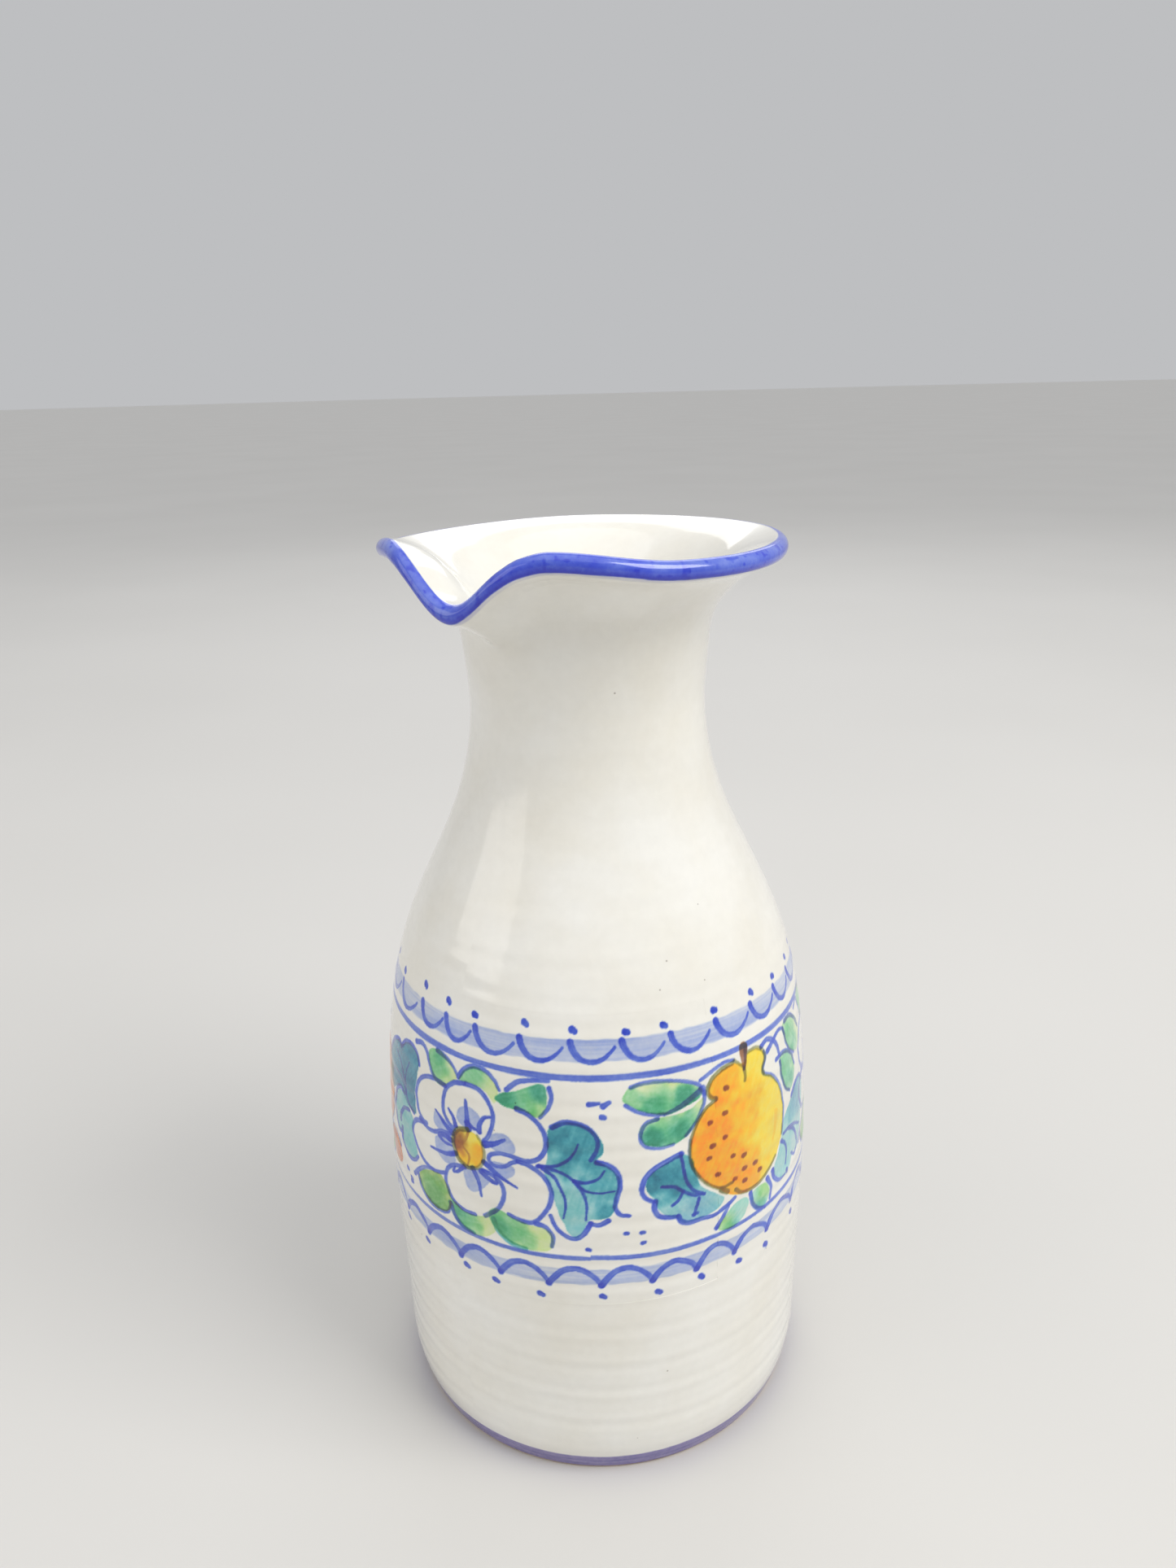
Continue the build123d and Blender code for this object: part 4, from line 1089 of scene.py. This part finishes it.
def glaze_material(name, warm=(0.800, 0.775, 0.700, 1), cool=(0.845, 0.835, 0.790, 1)):
    """White tin glaze over the colours: cloudy, speckled, pinholed and glossy."""
    material, tree, shader, place = fresh_material(name)
    clouds = spread_out(tree, noise(tree, place, 34, 4.0, 0.55), 0.35, 0.68, 0.0, 1.0)
    white = mixed(tree, "MIX", clouds, warm, cool)
    fine = spread_out(tree, noise(tree, place, 420, 2.0), 0.3, 0.7, 0.975, 1.0)
    white = mixed(tree, "MULTIPLY", 1.0, white, fine)
    dark = specks(tree, place, 170, 0.16, 0.055)
    tone = noise(tree, place, 90, 2.0)
    fleck = mixed(tree, "MIX", tone, (0.22, 0.17, 0.13, 1), (0.36, 0.33, 0.30, 1))
    white = mixed(tree, "MIX", spread_out(tree, dark, 0, 1, 0, 0.75), white, fleck)
    # The brushwork's colours, with the painted shade under the lip's blue, come from the mesh.
    paint_and_shade = node(tree, "ShaderNodeAttribute", attribute_name="paint_and_shade")
    depth = spread_out(tree, noise(tree, place, 750, 3.0, 0.6), 0.25, 0.75, 0.86, 1.14)
    tinted = node(tree, "ShaderNodeGamma", {0: paint_and_shade.outputs["Color"], 1: depth}).outputs[0]
    tree.links.new(mixed(tree, "MULTIPLY", 1.0, white, tinted), shader.inputs["Base Color"])

    dull = spread_out(tree, noise(tree, place, 130, 3.0), 0.3, 0.7, 0.10, 0.17)
    painted = spread_out(tree, paint_and_shade.outputs["Alpha"], 0.0, 0.8, 0.0, 0.05)
    rough = node(tree, "ShaderNodeMath", {0: dull, 1: painted}, operation="ADD").outputs[0]
    tree.links.new(rough, shader.inputs["Roughness"])
    shader.inputs["IOR"].default_value = 1.52
    shader.inputs["Coat Weight"].default_value = 0.5
    shader.inputs["Coat Roughness"].default_value = 0.035
    shader.inputs["Coat IOR"].default_value = 1.5

    pores = specks(tree, place, 260, 0.05, 0.07)
    peel = noise(tree, place, 620, 2.0, 0.4)
    waves = noise(tree, place, 95, 2.0, 0.4)
    height = node(tree, "ShaderNodeMath", {0: peel, 1: 0.22}, operation="MULTIPLY").outputs[0]
    height = node(tree, "ShaderNodeMath", {0: waves, 1: height}, operation="ADD").outputs[0]
    height = node(tree, "ShaderNodeMath", {0: height, 1: pores}, operation="SUBTRACT").outputs[0]
    relief = node(tree, "ShaderNodeBump", {"Height": height, "Strength": 0.12, "Distance": 0.0006})
    tree.links.new(relief.outputs[0], shader.inputs["Normal"])
    return material


def clay_material():
    """Fired clay, bare under the foot: matt, sandy and a little stained."""
    material, tree, shader, place = fresh_material("fired_clay_bare")
    clouds = spread_out(tree, noise(tree, place, 60, 5.0, 0.6), 0.3, 0.7, 0.0, 1.0)
    clay = mixed(tree, "MIX", clouds, (0.50, 0.27, 0.15, 1), (0.62, 0.38, 0.24, 1))
    sand = spread_out(tree, noise(tree, place, 1400, 2.0), 0.35, 0.65, 0.82, 1.0)
    clay = mixed(tree, "MULTIPLY", 1.0, clay, sand)
    grit = specks(tree, place, 420, 0.3, 0.16)
    clay = mixed(tree, "MIX", spread_out(tree, grit, 0, 1, 0, 0.7), clay, (0.24, 0.13, 0.08, 1))
    tree.links.new(clay, shader.inputs["Base Color"])
    tree.links.new(spread_out(tree, clouds, 0, 1, 0.78, 0.92), shader.inputs["Roughness"])
    relief = node(tree, "ShaderNodeBump", {
        "Height": noise(tree, place, 1500, 4.0, 0.6), "Strength": 0.35, "Distance": 0.0004})
    tree.links.new(relief.outputs[0], shader.inputs["Normal"])
    return material


def floor_material():
    material, tree, shader, place = fresh_material("studio_floor")
    tone = spread_out(tree, noise(tree, place, 3, 2.0), 0.3, 0.7, 0.0, 1.0)
    tree.links.new(mixed(tree, "MIX", tone, (0.60, 0.59, 0.57, 1), (0.62, 0.61, 0.59, 1)),
                   shader.inputs["Base Color"])
    shader.inputs["Roughness"].default_value = 0.7
    return material


# ---- pieces ---------------------------------------------------------------------------------------
white_glaze = glaze_material("tin_glaze_white")
painted_glaze = glaze_material("tin_glaze_painted")
lip_glaze = glaze_material("tin_glaze_lip", (0.80, 0.78, 0.74, 1), (0.86, 0.85, 0.83, 1))


def finish_piece(piece, cad_node, material):
    piece.data.materials.append(material)
    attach(piece, "root")
    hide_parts(cad_node)


def heights_of(cad_node):
    low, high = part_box(cad_node)
    return low[2] * 1000, high[2] * 1000


def make_ring(cad_node, material, start, end, columns, coarse, fine, fine_at):
    walk = stations(start, end, coarse, fine, fine_at)
    finish_piece(glaze_shell(cad_node + "_skin", walk, columns), cad_node, material)


def make_painted_zone(cad_node, columns, step):
    """A painted band, as SECTORS shells side by side."""
    low, high = (meridian.at_height(height) for height in heights_of(cad_node))
    walk = np.linspace(low, high, round((high - low) / step) + 1)
    for k in range(SECTORS):
        first = FRONT + (k + 0.5) / SECTORS * 2 * math.pi
        piece = glaze_shell(f"{cad_node}_{k + 1}", walk, columns, first, first + 2 * math.pi / SECTORS)
        finish_piece(piece, cad_node, painted_glaze)


foot_low, foot_high = heights_of("foot_band")
belly_low, belly_high = heights_of("belly_glaze")
border_top = heights_of("upper_border")[1]
lip_low, lip_high = meridian.on_lip(BLUE_STARTS), meridian.on_lip(BLUE_ENDS)
foot_edge = meridian.at_height(FOOT_LINE[1])
make_ring("foot_band", painted_glaze, meridian.at_height(foot_low),
          meridian.at_height(foot_high), 1080, 0.3, 0.3, [])
make_ring("belly_glaze", white_glaze, meridian.at_height(belly_low),
          meridian.at_height(belly_high), 720, 0.9, 0.3, [foot_edge])
make_painted_zone("lower_border", 240, 0.25)
make_painted_zone("fruit_frieze", 240, 0.25)
make_painted_zone("upper_border", 240, 0.25)
make_ring("neck_glaze", white_glaze, meridian.at_height(border_top), lip_low,
          720, 0.9, 0.3, [lip_low])
make_ring("lip_band", lip_glaze, lip_low, lip_high, 1080, 0.25, 0.25, [])
make_ring("inner_glaze", white_glaze, lip_high, meridian.walk[-1] - 0.4,
          720, 1.1, 0.3, [lip_high])

bare_clay = clay_material()
for length in ("clay_body", "clay_neck"):
    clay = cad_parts[length]
    clay.data.materials.clear()
    clay.data.materials.append(bare_clay)


# ---- floor, light and camera ---------------------------------------------------------------------
def make_floor():
    mesh = bpy.data.meshes.new("studio_floor")
    count = 96
    ring = [(40 * math.cos(2 * math.pi * i / count), 40 * math.sin(2 * math.pi * i / count), 0)
            for i in range(count)]
    mesh.from_pydata(ring, [], [list(range(count))])
    floor = bpy.data.objects.new("studio_floor", mesh)
    floor.location.z = cad_low[2]
    bpy.context.collection.objects.link(floor)
    mesh.materials.append(floor_material())


def make_light(name, azimuth, elevation, distance, size, power, colour=(1, 1, 1)):
    """A soft box that looks at the pot's middle from this side."""
    target = Vector((0, 0, 0.12))
    a, e = math.radians(azimuth), math.radians(elevation)
    back = Vector((math.sin(a) * math.cos(e), -math.cos(a) * math.cos(e), math.sin(e)))
    data = bpy.data.lights.new(name, "AREA")
    data.shape = "RECTANGLE"
    data.size, data.size_y = size
    data.energy = power
    data.color = colour
    light = bpy.data.objects.new(name, data)
    light.location = target + back * distance
    light.rotation_mode = "QUATERNION"
    light.rotation_quaternion = (-back).to_track_quat("-Z", "Y")
    bpy.context.collection.objects.link(light)


def make_overhead_light():
    """A broad glow from above, which reaches the far floor as well."""
    data = bpy.data.lights.new("overhead", "SUN")
    data.energy = 0.7
    data.angle = math.radians(70)
    light = bpy.data.objects.new("overhead", data)
    light.rotation_euler = (math.radians(10), math.radians(8), 0)
    bpy.context.collection.objects.link(light)


def make_camera():
    """Stands where the photographer held the phone: a little above the rim, close to the pot."""
    distance, height = 0.2959, 0.2752
    turn = Matrix.Rotation(FRONT, 3, "Z")
    forward = turn @ Vector((-0.0012, 0.9473, -0.3204))
    up = turn @ Vector((0.02593, 0.32033, 0.94695))
    right = forward.cross(up).normalized()
    up = right.cross(forward).normalized()
    data = bpy.data.cameras.new("camera")
    data.lens = 27.09
    data.sensor_width = 36
    data.clip_start = 0.01
    camera = bpy.data.objects.new("camera", data)
    basis = Matrix((right, up, -forward.normalized())).transposed()
    camera.matrix_world = Matrix.Translation(turn @ Vector((0, -distance, height))) @ basis.to_4x4()
    bpy.context.collection.objects.link(camera)
    bpy.context.scene.camera = camera


make_floor()
make_camera()
make_light("key", 100, 48, 1.5, (0.8, 0.8), 13.5, (1.0, 0.98, 0.94))
make_light("fill", -35, 25, 1.8, (1.2, 1.2), 5, (1.0, 0.96, 0.90))
make_light("back", 215, 38, 1.8, (1.2, 1.0), 4.5)
make_overhead_light()
world = bpy.data.worlds.new("studio")
world.use_nodes = True
world.node_tree.nodes["Background"].inputs[0].default_value = (0.83, 0.84, 0.86, 1)
world.node_tree.nodes["Background"].inputs[1].default_value = 0.62
bpy.context.scene.world = world
bpy.context.scene.view_settings.view_transform = "Standard"
